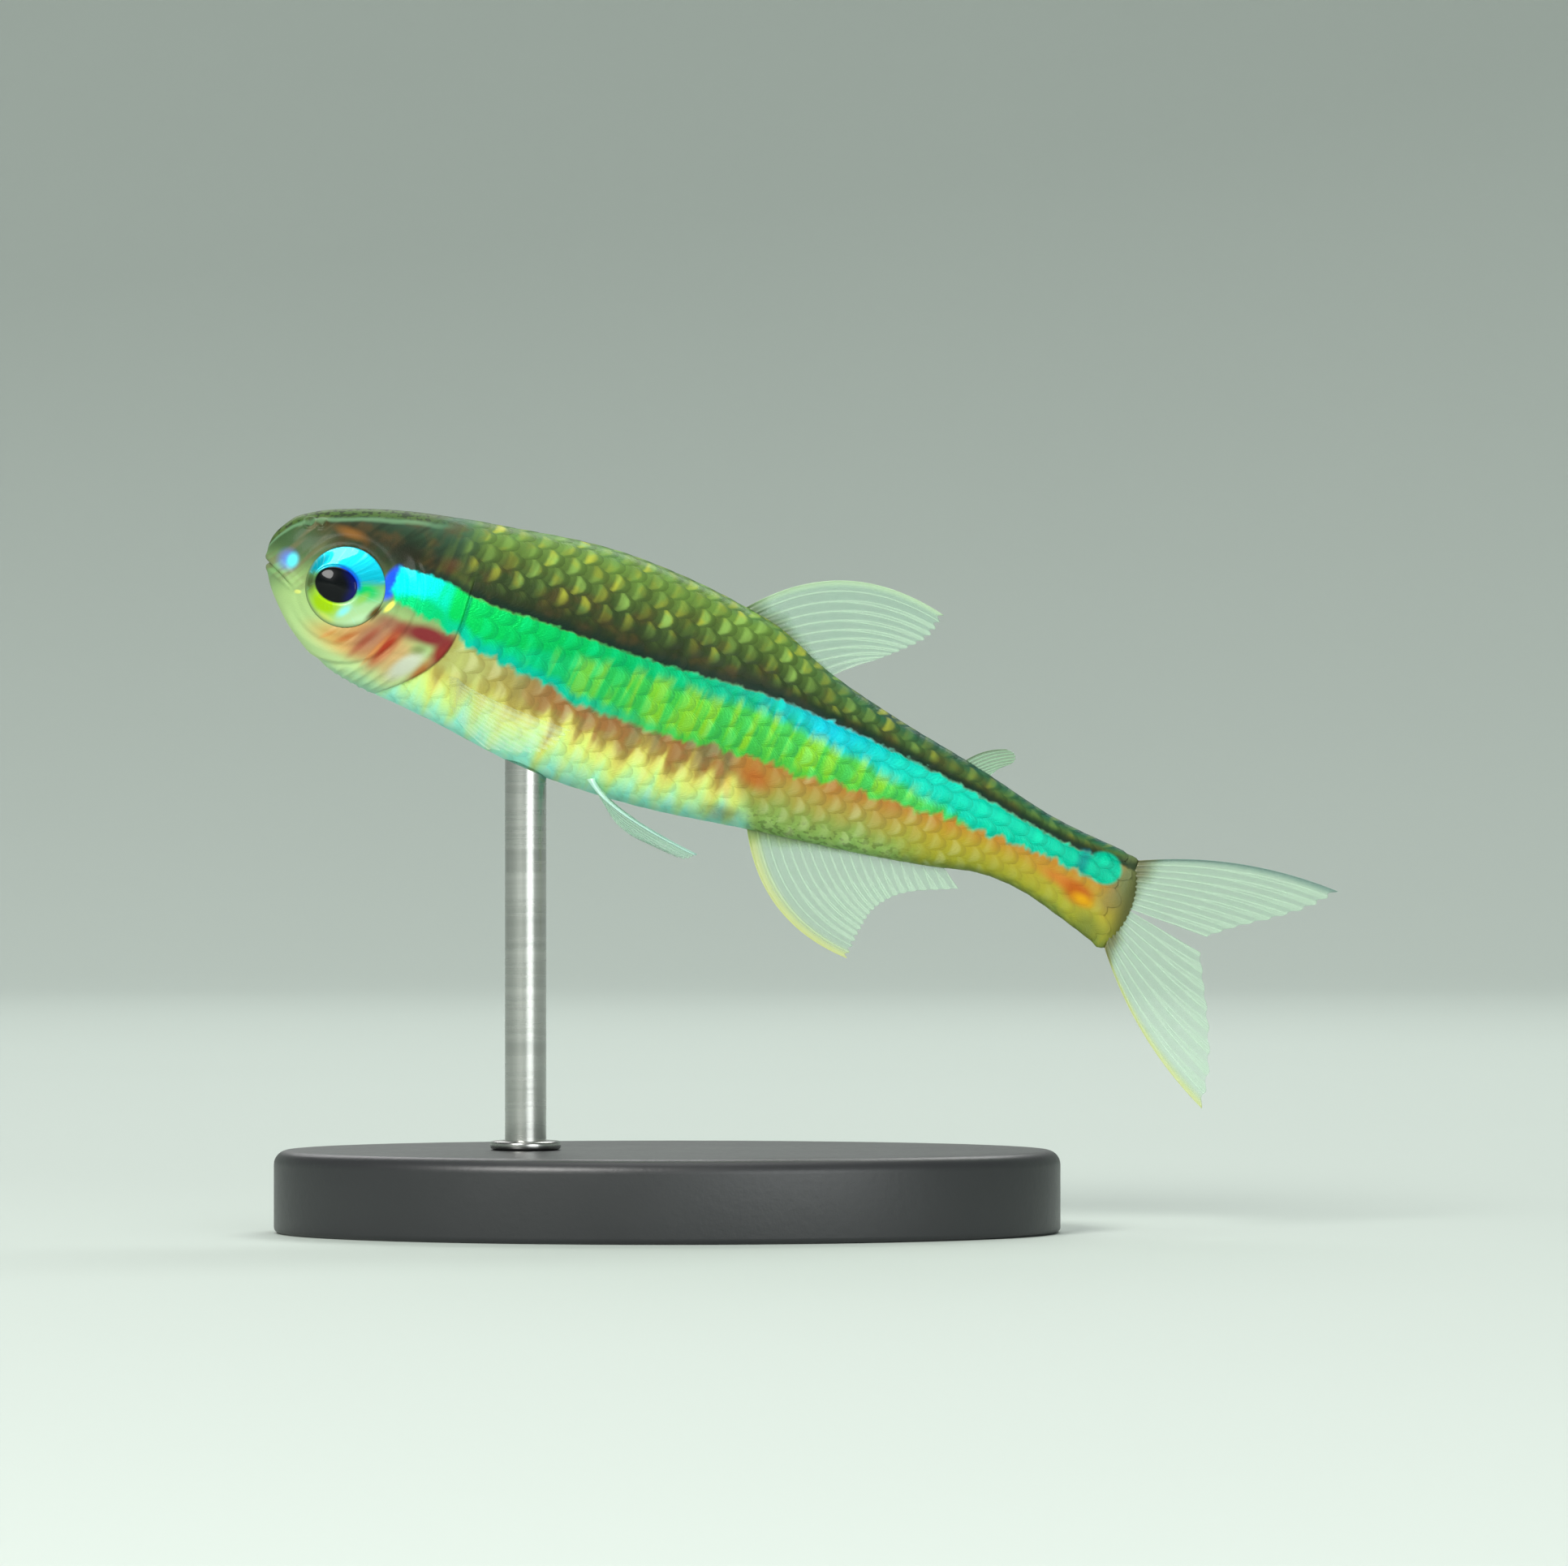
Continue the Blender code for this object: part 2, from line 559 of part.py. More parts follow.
def build():
    clear_scene()
    axis = bpy.data.objects.new("fish_axis", None)
    axis.location = (-BASE_CENTRE * MM, 0, SNOUT_HEIGHT * MM)
    axis.rotation_euler.y = math.radians(PITCH)
    bpy.context.scene.collection.objects.link(axis)
    bpy.context.view_layer.update()

    head_slice = body_slice(lambda h: AHEAD, gill_edge)
    finish(head(axis, head_slice), paint("head skin", (0.33, 0.36, 0.20), 0.35))
    trunk = body_piece("trunk", axis, body_slice(gill_edge, lambda h: TAIL_CUT))
    finish(trunk, paint("trunk skin", (0.20, 0.45, 0.22), 0.35))
    tail = body_piece("tail", axis, body_slice(lambda h: TAIL_CUT, lambda h: BEHIND))
    finish(tail, paint("tail skin", (0.45, 0.33, 0.10), 0.35))

    web = {"roughness": 0.3, "alpha": 0.6}
    for word, side in (("left", -1), ("right", 1)):
        cover = gill_cover(f"gill_cover_{word}", axis, side, head_slice)
        finish(cover, paint(f"gill cover {word}", (0.45, 0.20, 0.16), 0.25))
        finish(eye(f"eye_{word}", axis, side), paint(f"eye {word}", (0.0, 0.70, 0.75), 0.1))
        pectoral = paired_fin(
            f"pectoral_fin_{word}", axis, side, PECTORAL_RAYS, PECTORAL_ROOT, PECTORAL_TIPS
        )
        finish(pectoral, paint(f"pectoral fin {word}", (0.72, 0.85, 0.74), **web))
        pelvic = paired_fin(
            f"pelvic_fin_{word}", axis, side, PELVIC_RAYS, PELVIC_ROOT, PELVIC_TIPS
        )
        finish(pelvic, paint(f"pelvic fin {word}", (0.60, 0.82, 0.80), **web))

    finish(dorsal_fin(axis), paint("dorsal fin", (0.62, 0.80, 0.62), **web))
    finish(adipose_fin(axis), paint("adipose fin", (0.45, 0.60, 0.50), **web))
    finish(anal_fin(axis), paint("anal fin", (0.70, 0.78, 0.50), **web))
    upper = caudal_lobe(
        "caudal_fin_upper", axis, CAUDAL_ROOT_TOP, CAUDAL_UPPER_RAYS, CAUDAL_UPPER_TIPS, CAUDAL_BOW
    )
    finish(upper, paint("upper tail fin", (0.58, 0.74, 0.55), **web))
    lower = caudal_lobe(
        "caudal_fin_lower", axis, CAUDAL_ROOT_FOOT, CAUDAL_LOWER_RAYS, CAUDAL_LOWER_TIPS, -CAUDAL_BOW
    )
    finish(lower, paint("lower tail fin", (0.66, 0.76, 0.52), **web))

    finish(stand_base(), paint("stand base", (0.05, 0.05, 0.055), 0.4))
    finish(stand_rod(), paint("stand rod", (0.62, 0.62, 0.60), 0.3, metallic=1.0))


build()
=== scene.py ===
# A green neon tetra as a still, life-size model on a small display stand.
# Shapes are worked out along the fish, in millimetres: s runs from the snout to the tail,
# w to the fish's right and h upwards. The fish is then pitched head-up over its stand.
import math
from types import SimpleNamespace

import bpy
import numpy as np
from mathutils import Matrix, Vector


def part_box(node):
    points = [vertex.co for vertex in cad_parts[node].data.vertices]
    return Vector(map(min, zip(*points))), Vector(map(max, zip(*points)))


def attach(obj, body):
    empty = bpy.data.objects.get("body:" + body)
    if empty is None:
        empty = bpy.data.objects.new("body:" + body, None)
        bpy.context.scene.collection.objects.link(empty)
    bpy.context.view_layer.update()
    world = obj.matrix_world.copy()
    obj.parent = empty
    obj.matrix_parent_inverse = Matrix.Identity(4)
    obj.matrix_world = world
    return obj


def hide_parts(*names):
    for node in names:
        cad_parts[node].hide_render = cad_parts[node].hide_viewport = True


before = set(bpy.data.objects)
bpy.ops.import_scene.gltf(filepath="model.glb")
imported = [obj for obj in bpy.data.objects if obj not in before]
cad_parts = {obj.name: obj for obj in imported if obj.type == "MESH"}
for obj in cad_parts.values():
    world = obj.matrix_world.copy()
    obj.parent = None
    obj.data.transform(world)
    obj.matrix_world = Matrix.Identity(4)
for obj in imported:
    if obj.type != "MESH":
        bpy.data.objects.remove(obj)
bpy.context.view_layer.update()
print("frame loaded,", len(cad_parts), "nodes")

mm = 0.001
image = {"wide": 1932, "high": 1930, "pixelsPerMm": 51.0, "snout": (332.5, 675.1)}

fish = {
    "pitch": 21.4, "length": 22.3,
    "underStand": 9.6,                 # from under the snout to the middle of the stand
    "tailClearance": 1.0, "lowestTip": (25.9, -4.4),
    "back": (
        (0, 0.12), (0.15, 0.60), (0.5, 1.06), (1.5, 1.60), (3, 2.10), (5, 2.53), (8.5, 3.02),
        (11, 2.88), (12.2, 2.68), (13.5, 2.18), (15.5, 1.70), (18, 1.26), (20, 0.84), (22.3, 0.68),
    ),
    "belly": (
        (0, 0.12), (0.15, -0.42), (0.4, -0.86), (1, -1.46), (2, -2.03), (3, -2.28), (5, -2.44),
        (8.5, -2.72), (11, -2.50), (13, -2.15), (17.8, -1.30), (18.8, -1.06), (20, -1.09),
        (21, -1.33), (22.3, -1.70),
    ),
    "halfWidth": (
        (0, 0), (0.15, 0.36), (0.5, 0.66), (1, 0.86), (2, 1.12), (3, 1.25), (5, 1.40), (8, 1.47),
        (11, 1.36), (14, 1.02), (17, 0.70), (20, 0.44), (22.3, 0.30),
    ),
    "fullness": 0.9,                   # below 1 the sides are fuller than an ellipse
    "tailRunOn": 0.26,                 # how far the flesh runs on into the tail fin
    "tailPinch": 0.08, "tailEdge": 0.05, "tailTaper": 0.75,
    "gillMiddle": -0.3, "gillReach": 5.05, "gillCurve": (0.05, 0.33),
}
bodyEnd = fish["length"] + fish["tailRunOn"]
pitchSin, pitchCos = math.sin(math.radians(fish["pitch"])), math.cos(math.radians(fish["pitch"]))
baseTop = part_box("stand_base")[1].z / mm
snoutHeight = (
    baseTop + fish["tailClearance"]
    + fish["lowestTip"][0] * pitchSin - fish["lowestTip"][1] * pitchCos
)


# Curves and places along the fish

def ease(value, start, end):
    # smooth step: 3x^2 - 2x^3, where x runs from 0 at start to 1 at end
    x = np.clip((value - start) / (end - start), 0, 1)
    return x * x * (3 - 2 * x)


def window(value, start, full, fading, end):
    # 0 before the start and after the end, 1 between full and fading
    return ease(value, start, full) * ease(value, end, fading)


def bump(value, middle, width):
    # bell curve: e to the minus square of the distance over the width
    return np.exp(-(((value - middle) / width) ** 2))


def smoothLine(points, at):
    # cubic pieces through the points, with the slope at each point from its two neighbours
    x, y = np.array(points, float).T
    slope = np.gradient(y, x)
    i = np.clip(np.searchsorted(x, at) - 1, 0, len(x) - 2)
    run = x[i + 1] - x[i]
    t = np.clip((at - x[i]) / run, 0, 1)
    ends = (1 + 2 * t) * (1 - t) ** 2 * y[i] + t**2 * (3 - 2 * t) * y[i + 1]
    return ends + run * (t * (1 - t) ** 2 * slope[i] - t**2 * (1 - t) * slope[i + 1])


def outlineAt(points, s):
    # the same curve against the root of s, so that the snout is round
    rooted = [(math.sqrt(a), b) for a, b in points]
    return smoothLine(rooted, np.sqrt(np.clip(s, 0, fish["length"])))


def sectionAt(s):
    # top, foot and half width of the body; past its length they close like a wedge
    past = np.clip((s - fish["length"]) / fish["tailRunOn"], 0, 1)
    pinch = fish["tailPinch"] * past**2
    top = outlineAt(fish["back"], s) - pinch
    foot = outlineAt(fish["belly"], s) + pinch
    taper = np.maximum(1 - past, fish["tailEdge"]) ** fish["tailTaper"]
    return top, foot, outlineAt(fish["halfWidth"], s) * taper


def bodyPoint(s, angle):
    # w = half * |cos|^fullness with the sign of cos, h = middle + sin * reach; angle 90 is the back
    top, foot, half = sectionAt(s)
    across, up = np.cos(angle), np.sin(angle)
    w = np.sign(across) * np.abs(across) ** fish["fullness"] * half
    h = (top + foot) / 2 + up * (top - foot) / 2
    return np.stack(np.broadcast_arrays(s, w, h), -1)


def unit(vectors):
    # each vector over its length
    return vectors / np.maximum(np.linalg.norm(vectors, axis=-1, keepdims=True), 1e-12)


def bodyNormal(s, angle):
    # cross product of two small steps along the surface, made a unit long, outwards
    step, turn = np.clip(s * 0.2, 1e-5, 2e-3), 1e-3
    along = bodyPoint(s + step, angle) - bodyPoint(s - step, angle)
    around = bodyPoint(s, angle + turn) - bodyPoint(s, angle - turn)
    return unit(np.cross(around, along))


def gillEdge(h):
    # station of the gill opening: a parabola, flatter above its middle than below
    off = h - fish["gillMiddle"]
    return fish["gillReach"] - np.where(off > 0, *fish["gillCurve"]) * off**2


def overStand(points):
    # pitches the fish's own millimetres head-up over the stand, and gives metres
    s, w, h = np.moveaxis(np.asarray(points, float), -1, 0)
    x = s * pitchCos + h * pitchSin - fish["underStand"]
    z = snoutHeight - s * pitchSin + h * pitchCos
    return np.stack([x, w, z], -1) * mm


# Meshes from arrays; places on the map run from 0 to 1, and stay clear of its edges

mapEdge, sheetEdge, poleShare = 0.02, 0.01, 0.6
sheetWindows = (0.01, 0.01, 0.47, 0.9), (0.51, 0.01, 0.47, 0.9)     # left, low, wide, high
rimBand = 0.95, 0.97


def gridQuads(rows, columns, closed, rowPlace=None, window=(0, 0, 1, 1)):
    # quads of a grid of points and their places on the map; closed joins the last column to the first
    r, c = np.meshgrid(np.arange(rows - 1), np.arange(columns - (not closed)), indexing="ij")
    r, c = r.ravel(), c.ravel()
    after = (c + 1) % columns
    a, b = r * columns + c, r * columns + after
    quads = np.stack([a, b, b + columns, a + columns], 1)
    rowPlace = np.linspace(0, 1, rows) if rowPlace is None else rowPlace
    across = np.stack([c, c + 1, c + 1, c], 1) / (columns if closed else columns - 1)
    along = np.stack([rowPlace[r], rowPlace[r], rowPlace[r + 1], rowPlace[r + 1]], 1)
    left, low, wide, high = window
    return quads, np.stack([left + along * wide, low + across * high], -1)


def rimOf(rows, columns):
    # the points round the edge of a grid, in turn
    index = np.arange(rows * columns).reshape(rows, columns)
    return np.concatenate([index[0], index[1:, -1], index[-1, -2::-1], index[-2:0:-1, 0]])


def poleFan(ring, pole, place, polePlace):
    # triangles from a ring of points to one pole, and their places on the map
    count = len(ring)
    faces = np.stack([ring, np.roll(ring, -1), np.full(count, pole)], 1)
    c = np.arange(count)
    across = np.stack([c, c + 1, c + 0.5], 1) / count
    along = np.broadcast_to([place, place, polePlace], across.shape)
    return faces, np.stack([along, across], -1)


def closedTube(rings, firstPole, lastPole, rowPlace=None):
    # rings of points joined row to row, and closed at both ends by a fan to a pole, whose place on
    # the map is poleShare of the way from the map's edge to the ring's place
    rows, columns = rings.shape[:2]
    rowPlace = np.linspace(mapEdge, 1 - mapEdge, rows) if rowPlace is None else rowPlace
    points = np.concatenate([rings.reshape(-1, 3), [firstPole], [lastPole]])
    ring = np.arange(columns)
    count = rows * columns
    start, end = rowPlace[0], rowPlace[-1]
    blocks = [
        gridQuads(rows, columns, True, rowPlace),
        poleFan(ring[::-1], count, start, poleShare * start),
        poleFan(ring + count - columns, count + 1, end, 1 - poleShare * (1 - end)),
    ]
    return points, blocks


def closedSheet(middle, normal, halfThick):
    # a thin body: two copies of a grid, pushed apart along its normal and joined round the rim
    rows, columns = middle.shape[:2]
    push = normal * halfThick[..., None]
    points = np.concatenate([(middle + push).reshape(-1, 3), (middle - push).reshape(-1, 3)])
    count = rows * columns
    (upper, upperMap), (lower, lowerMap) = (
        gridQuads(rows, columns, False, window=window) for window in sheetWindows
    )
    rim = rimOf(rows, columns)
    after = np.roll(rim, -1)
    edge = np.stack([rim, rim + count, after + count, after], 1)
    place = sheetEdge + (1 - 2 * sheetEdge) * np.arange(len(rim) + 1) / len(rim)
    edgeMap = np.stack([place[:-1], place[:-1], place[1:], place[1:]], 1)
    high = np.broadcast_to([*rimBand, *rimBand[::-1]], edgeMap.shape)
    blocks = [(upper, upperMap), (lower[:, ::-1] + count, lowerMap[:, ::-1])]
    return points, blocks + [(edge, np.stack([edgeMap, high], -1))]


def bulkOf(points, blocks):
    # signed volume: each triangle's corners multiplied as a box product, over six
    total = 0
    for faces, _ in blocks:
        for k in range(1, faces.shape[1] - 1):
            a, b, c = (points[faces[:, j]] for j in (0, k, k + 1))
            total += np.einsum("ij,ij->", a, np.cross(b, c)) / 6
    return total


def addObject(name, data):
    made = bpy.data.objects.new(name, data)
    bpy.context.scene.collection.objects.link(made)
    return made


def addMesh(name, points, faces, finish):
    mesh = bpy.data.meshes.new(name)
    mesh.from_pydata(points.tolist(), [], faces)
    mesh.shade_smooth()
    mesh.materials.append(finish)
    return addObject(name, mesh)


def makePiece(name, points, blocks, marks, finish, slot, *replaced, crease=None):
    # points in metres, blocks of (faces, map places); turned to face outwards if they don't;
    # edges that fold by more than the crease, in degrees, stay sharp
    middle = points.mean(0)
    if bulkOf(points - middle, blocks) < 0:
        blocks = [(faces[:, ::-1], places[:, ::-1]) for faces, places in blocks]
    faces = [face for block, _ in blocks for face in block.tolist()]
    piece = addMesh(name, points, faces, finish)
    mesh = piece.data
    layer = mesh.uv_layers.new(name="OFBake")
    layer.data.foreach_set("uv", np.concatenate([p.reshape(-1) for _, p in blocks]))
    for label, values in marks.items():
        attribute = mesh.attributes.new(label, "FLOAT_VECTOR", "POINT")
        attribute.data.foreach_set("vector", np.ascontiguousarray(values, np.float32).ravel())
    if crease:
        mesh.set_sharp_from_angle(angle=math.radians(crease))
    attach(piece, "root")
    if replaced:
        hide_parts(*replaced)
    print(name, sum(len(face) - 2 for face in faces), "triangles")


# Finishes

def paint(red, green, blue):
    # a colour given as 0 to 255 on a screen, turned to the linear values that nodes use
    share = np.array([red, green, blue]) / 255
    linear = np.where(share > 0.04045, ((share + 0.055) / 1.055) ** 2.4, share / 12.92)
    return (*linear.tolist(), 1.0)


class Finish:
    # one material; each call adds a node and gives back its output; a colour is 0 to 255
    def __init__(self, name, **sockets):
        self.material = bpy.data.materials.new(name)
        self.material.use_nodes = True
        self.tree = self.material.node_tree
        self.shader = self.tree.nodes["Principled BSDF"]
        for label, value in sockets.items():
            self.set(label, value)

    def feed(self, socket, value):
        if isinstance(value, bpy.types.NodeSocket):
            self.tree.links.new(value, socket)
        else:
            socket.default_value = paint(*value) if socket.type == "RGBA" else value

    def set(self, label, value):
        self.feed(self.shader.inputs[label.replace("_", " ")], value)

    def node(self, kind, *values, **settings):
        # a node with these settings, and these values fed to its first inputs
        made = self.tree.nodes.new("ShaderNode" + kind)
        for label, setting in settings.items():
            setattr(made, label, setting)
        for socket, value in zip(made.inputs, values):
            self.feed(socket, value)
        return made

    def maths(self, operation, a, b=0.0):
        return self.node("Math", a, b, operation=operation).outputs[0]

    def product(self, made, *others):
        for other in others:
            made = self.maths("MULTIPLY", made, other)
        return made

    def nudge(self, value, change, share, middle=0.5):
        # value plus (change - middle) * share
        off = self.maths("SUBTRACT", change, middle)
        return self.maths("ADD", value, self.product(off, share))

    def ease(self, value, start, end, low=0.0, high=1.0):
        # smooth step from low at start to high at end
        node = self.node("MapRange", value, start, end, low, high, interpolation_type="SMOOTHSTEP")
        return node.outputs[0]

    def ramp(self, value, stops):
        # colours along a value; each stop is its place, then red, green and blue
        node = self.node("ValToRGB", value)
        elements = node.color_ramp.elements
        while len(elements) < len(stops):
            elements.new(0.5)
        for element, (place, *tone) in zip(elements, stops):
            element.position, element.color = place, paint(*tone)
        return node.outputs[0]

    def mix(self, share, a, b, blend="MIX"):
        node = self.node("Mix", share, data_type="RGBA", blend_type=blend)
        for socket, value in zip(node.inputs[6:8], (a, b)):    # the two colour sockets
            self.feed(socket, value)
        return node.outputs[2]

    def over(self, colour, tone, *masks):
        # the colour, covered by the tone as far as the masks multiply up to
        return self.mix(self.product(*masks), colour, tone)

    def read(self, label):
        return self.node("Attribute", attribute_name=label).outputs["Vector"]

    def place(self):
        return self.node("TexCoord").outputs["Object"]

    def split(self, vector):
        return self.node("SeparateXYZ", vector).outputs

    def stretch(self, vector, factors):
        return self.node("VectorMath", vector, factors, operation="MULTIPLY").outputs[0]

    def noise(self, vector, scale, detail=2.0, roughness=0.5):
        return self.node("TexNoise", vector, 0.0, scale, detail, roughness).outputs[0]

    def spot(self, vector, centre, radii, lean=0.0, soft=0.6):
        # 1 inside an ellipse on the fish's side, easing to 0 at its edge
        turn = (0, 0, math.radians(lean))
        node = self.node("Mapping", vector, (*centre, 0), turn, (*radii, 1), vector_type="TEXTURE")
        length = self.node("VectorMath", node.outputs[0], operation="LENGTH")
        return self.ease(length.outputs["Value"], 1.0, 1.0 - soft)

    def spots(self, colour, vector, rows):
        # soft ellipses of colour: centre, radii, lean in degrees, softness, strength, tone
        for centre, radii, lean, soft, share, tone in rows:
            colour = self.over(colour, tone, self.spot(vector, centre, radii, lean, soft), share)
        return colour

    def relief(self, height, distance, strength=1.0):
        # bump from a height, whose full range stands out by the distance in metres
        node = self.node("Bump", strength, distance)
        self.feed(node.inputs["Height"], height)
        self.set("Normal", node.outputs[0])


markings = {
    "stripeTop": (
        (3, 0.74), (4.5, 0.78), (5, 0.70), (7, 0.75), (9, 0.80), (11, 0.95), (12.5, 1.08),
        (15, 1.0), (17, 0.82), (19, 0.58), (20, 0.43), (21, 0.36), (22.3, 0.42),
    ),
    "stripeFoot": (
        (3, 0.06), (3.5, -0.10), (4.5, -0.26), (5, -0.36), (6, -0.52), (8, -0.75), (9, -0.80),
        (11, -0.66), (13, -0.50), (15, -0.36), (18, -0.14), (20, -0.14), (22.3, -0.22),
    ),
    "stripeSplit": (
        (3, 0.05), (4.3, 0.20), (5, -0.06), (7, 0.0), (8, 0.15), (9, 0.30), (11, 0.42), (12.7, 0.60),
        (13.5, 0.52), (15.5, 0.30), (17.5, 0.04), (18.5, -0.18), (22.3, -0.5),
    ),
    "bare": (0.3, 0.95, 0.5),          # scale place given to skin that carries no scale
    "combLean": math.radians(57),      # how far the gill combs lean from the fish's axis
    "streakLean": -0.08,               # how far forwards the flank's streaks run for each step up
    "leastSpan": 0.2,                  # shares of the back and belly are never taken of less
}


def markPoints(places, scalePlace=None):
    # numbers that every marking is drawn from: side view place, depth under the back's line,
    # distances from the stripe's lines, share of the way down the belly and up the back, and
    # distance ahead of the gill opening
    s, w, h = np.moveaxis(places, -1, 0)
    top, foot, _ = sectionAt(s)
    stripeTop, stripeFoot, split = (
        smoothLine(markings[name], s) for name in ("stripeTop", "stripeFoot", "stripeSplit")
    )
    under = (stripeFoot - h) / np.maximum(stripeFoot - foot, markings["leastSpan"])
    back = (h - stripeTop) / np.maximum(top - stripeTop, markings["leastSpan"])
    if scalePlace is None:
        scalePlace = np.broadcast_to(markings["bare"], places.shape)
    leanSin, leanCos = math.sin(markings["combLean"]), math.cos(markings["combLean"])
    return {
        "fishPlace": places,
        "sidePlace": np.stack([s, h, np.zeros_like(s)], -1),
        "leanPlace": np.stack([s + markings["streakLean"] * h, w, h], -1),
        "combPlace": np.stack([s * leanSin - h * leanCos, s * leanCos + h * leanSin, top - h], -1),
        "stripePlace": np.stack([stripeTop - h, h - stripeFoot, h - split], -1),
        "zonePlace": np.stack([under, back, gillEdge(h) - s], -1),
        "scalePlace": scalePlace,
    }


# In the tables of tones a ramp's stop is its place and its colour, and a spot is its centre, its
# radii, its lean in degrees, its softness, its strength and its colour.

flankTones = {
    "backFront": (
        (0.0, 26, 42, 30), (0.12, 38, 48, 26), (0.35, 52, 70, 35), (0.62, 80, 104, 48),
        (0.86, 100, 134, 58), (0.97, 88, 130, 64),
    ),
    "backRear": (
        (0.0, 20, 54, 42), (0.2, 48, 66, 36), (0.55, 68, 98, 50), (0.8, 44, 94, 62), (0.97, 36, 84, 72),
    ),
    # the back's scales carry a painted glint in two golden greens, mixed by the patches
    "backBrown": (80, 62, 34), "backEdge": (34, 46, 28), "backPaintedGlint": ((140, 178, 86), (180, 186, 62)),
    "belly": (
        (0.0, 118, 106, 66), (0.18, 144, 124, 68), (0.34, 174, 154, 74), (0.45, 214, 208, 102),
        (0.60, 216, 234, 120), (0.76, 194, 242, 158), (0.90, 174, 248, 202), (0.98, 158, 250, 222),
    ),
    "bellyBrown": (158, 94, 50), "behindGill": ((166, 160, 82), (170, 180, 104)),
    "rear": (
        (0.0, 170, 116, 50), (0.22, 168, 140, 62), (0.46, 158, 154, 70), (0.64, 142, 164, 80),
        (0.84, 150, 188, 98), (0.98, 144, 190, 102),
    ),
    "rearSpecks": (84, 104, 56),
    "wrist": ((0.0, 178, 124, 42), (0.35, 172, 154, 46), (0.8, 160, 162, 52), (0.98, 122, 140, 62)),
    # the lower flank's scales carry a pale painted glint
    "lowerEdge": (112, 96, 54), "lowerPaintedGlint": (242, 246, 190),
    "spots": (
        ((12.95, -0.90), (0.65, 0.40), -10, 0.9, 0.8, (178, 92, 36)),
        ((12.4, -1.35), (0.16, 0.5), 16, 0.8, 0.6, (224, 190, 90)),
        ((12.5, -1.96), (0.75, 0.32), 10, 0.9, 0.6, (112, 106, 68)),
        ((20.8, -0.5), (1.1, 0.26), -8, 0.9, 0.85, (196, 112, 44)),
        ((21.20, -0.64), (0.62, 0.38), -14, 0.8, 0.95, (176, 88, 22)),
        ((21.36, -0.76), (0.42, 0.22), -10, 0.9, 0.95, (212, 156, 20)),
        ((21.75, -1.30), (0.75, 0.44), -30, 0.9, 0.75, (112, 122, 54)),
        ((21.95, -0.55), (0.40, 0.50), 0, 0.9, 0.7, (136, 122, 70)),
        ((22.45, 0.1), (0.90, 1.1), 0, 0.7, 0.95, (104, 118, 76)),
        ((22.55, -0.5), (0.66, 1.6), -4, 0.9, 0.9, (98, 100, 56)),
    ),
}


def flankColour(f, marks):
    # back and underside behind the head; back and under are shares of the way to the fish's edges
    tones = flankTones
    s, under, back = marks.s, marks.under, marks.back
    patches, streaks = marks.patches, marks.streaks
    patchy = f.ease(patches, 0.4, 0.6)
    backFront = f.ramp(f.nudge(back, streaks, 0.36), tones["backFront"])
    backRear = f.ramp(f.nudge(back, streaks, 0.30), tones["backRear"])
    upper = f.mix(f.ease(s, 12.0, 15.5), backFront, backRear)
    brown = f.ease(patches, 0.45, 0.7), f.ease(back, 0.8, 0.4, 0.2, 0.5)
    upper = f.over(upper, tones["backBrown"], *brown)
    # a painted glint in the middle of each scale above the stripe, fading towards the tail
    flash = f.mix(patchy, *tones["backPaintedGlint"])
    upper = f.over(upper, flash, marks.flash, f.ease(back, 0.12, 0.5), f.ease(s, 18.0, 12.0, 0.3, 0.95))
    upper = f.over(upper, tones["backEdge"], marks.rim, 0.28)

    zigzag = f.nudge(under, f.maths("PINGPONG", marks.leaning, 0.3), -0.55, 0.15)
    zigzag = f.nudge(zigzag, streaks, 0.55)
    belly = f.ramp(zigzag, tones["belly"])
    brown = f.ease(zigzag, 0.46, 0.24), f.ease(patches, 0.44, 0.60), 0.6
    belly = f.over(belly, tones["bellyBrown"], *brown)
    behindGill = f.mix(patchy, *tones["behindGill"])
    belly = f.over(belly, behindGill, f.ease(s, 8.0, 5.4), f.ease(under, 0.7, 0.3), 0.85)
    rear = f.ramp(f.nudge(under, streaks, 0.34), tones["rear"])
    specks = f.ease(under, 0.6, 0.82), f.ease(marks.specks, 0.52, 0.6), 0.5
    rear = f.over(rear, tones["rearSpecks"], *specks)
    wrist = f.ramp(f.nudge(under, streaks, 0.3), tones["wrist"])
    rear = f.mix(f.ease(f.nudge(s, patches, 2.0), 15.8, 17.8), rear, wrist)
    border = f.nudge(f.maths("ADD", s, f.product(marks.h, 0.6)), streaks, 0.5)
    lower = f.mix(f.ease(border, 11.7, 12.25), belly, rear)
    lower = f.over(lower, tones["lowerEdge"], marks.rim, f.ease(under, 0.9, 0.3, 0.10, 0.28))
    # a pale painted glint on the lower scales, fading towards the tail
    lower = f.over(lower, tones["lowerPaintedGlint"], marks.flash, f.ease(s, 20.5, 16.5, 0.05, 0.22))
    colour = f.mix(f.ease(marks.belowTop, 0.02, -0.04), lower, upper)
    return f.spots(colour, marks.side, tones["spots"])


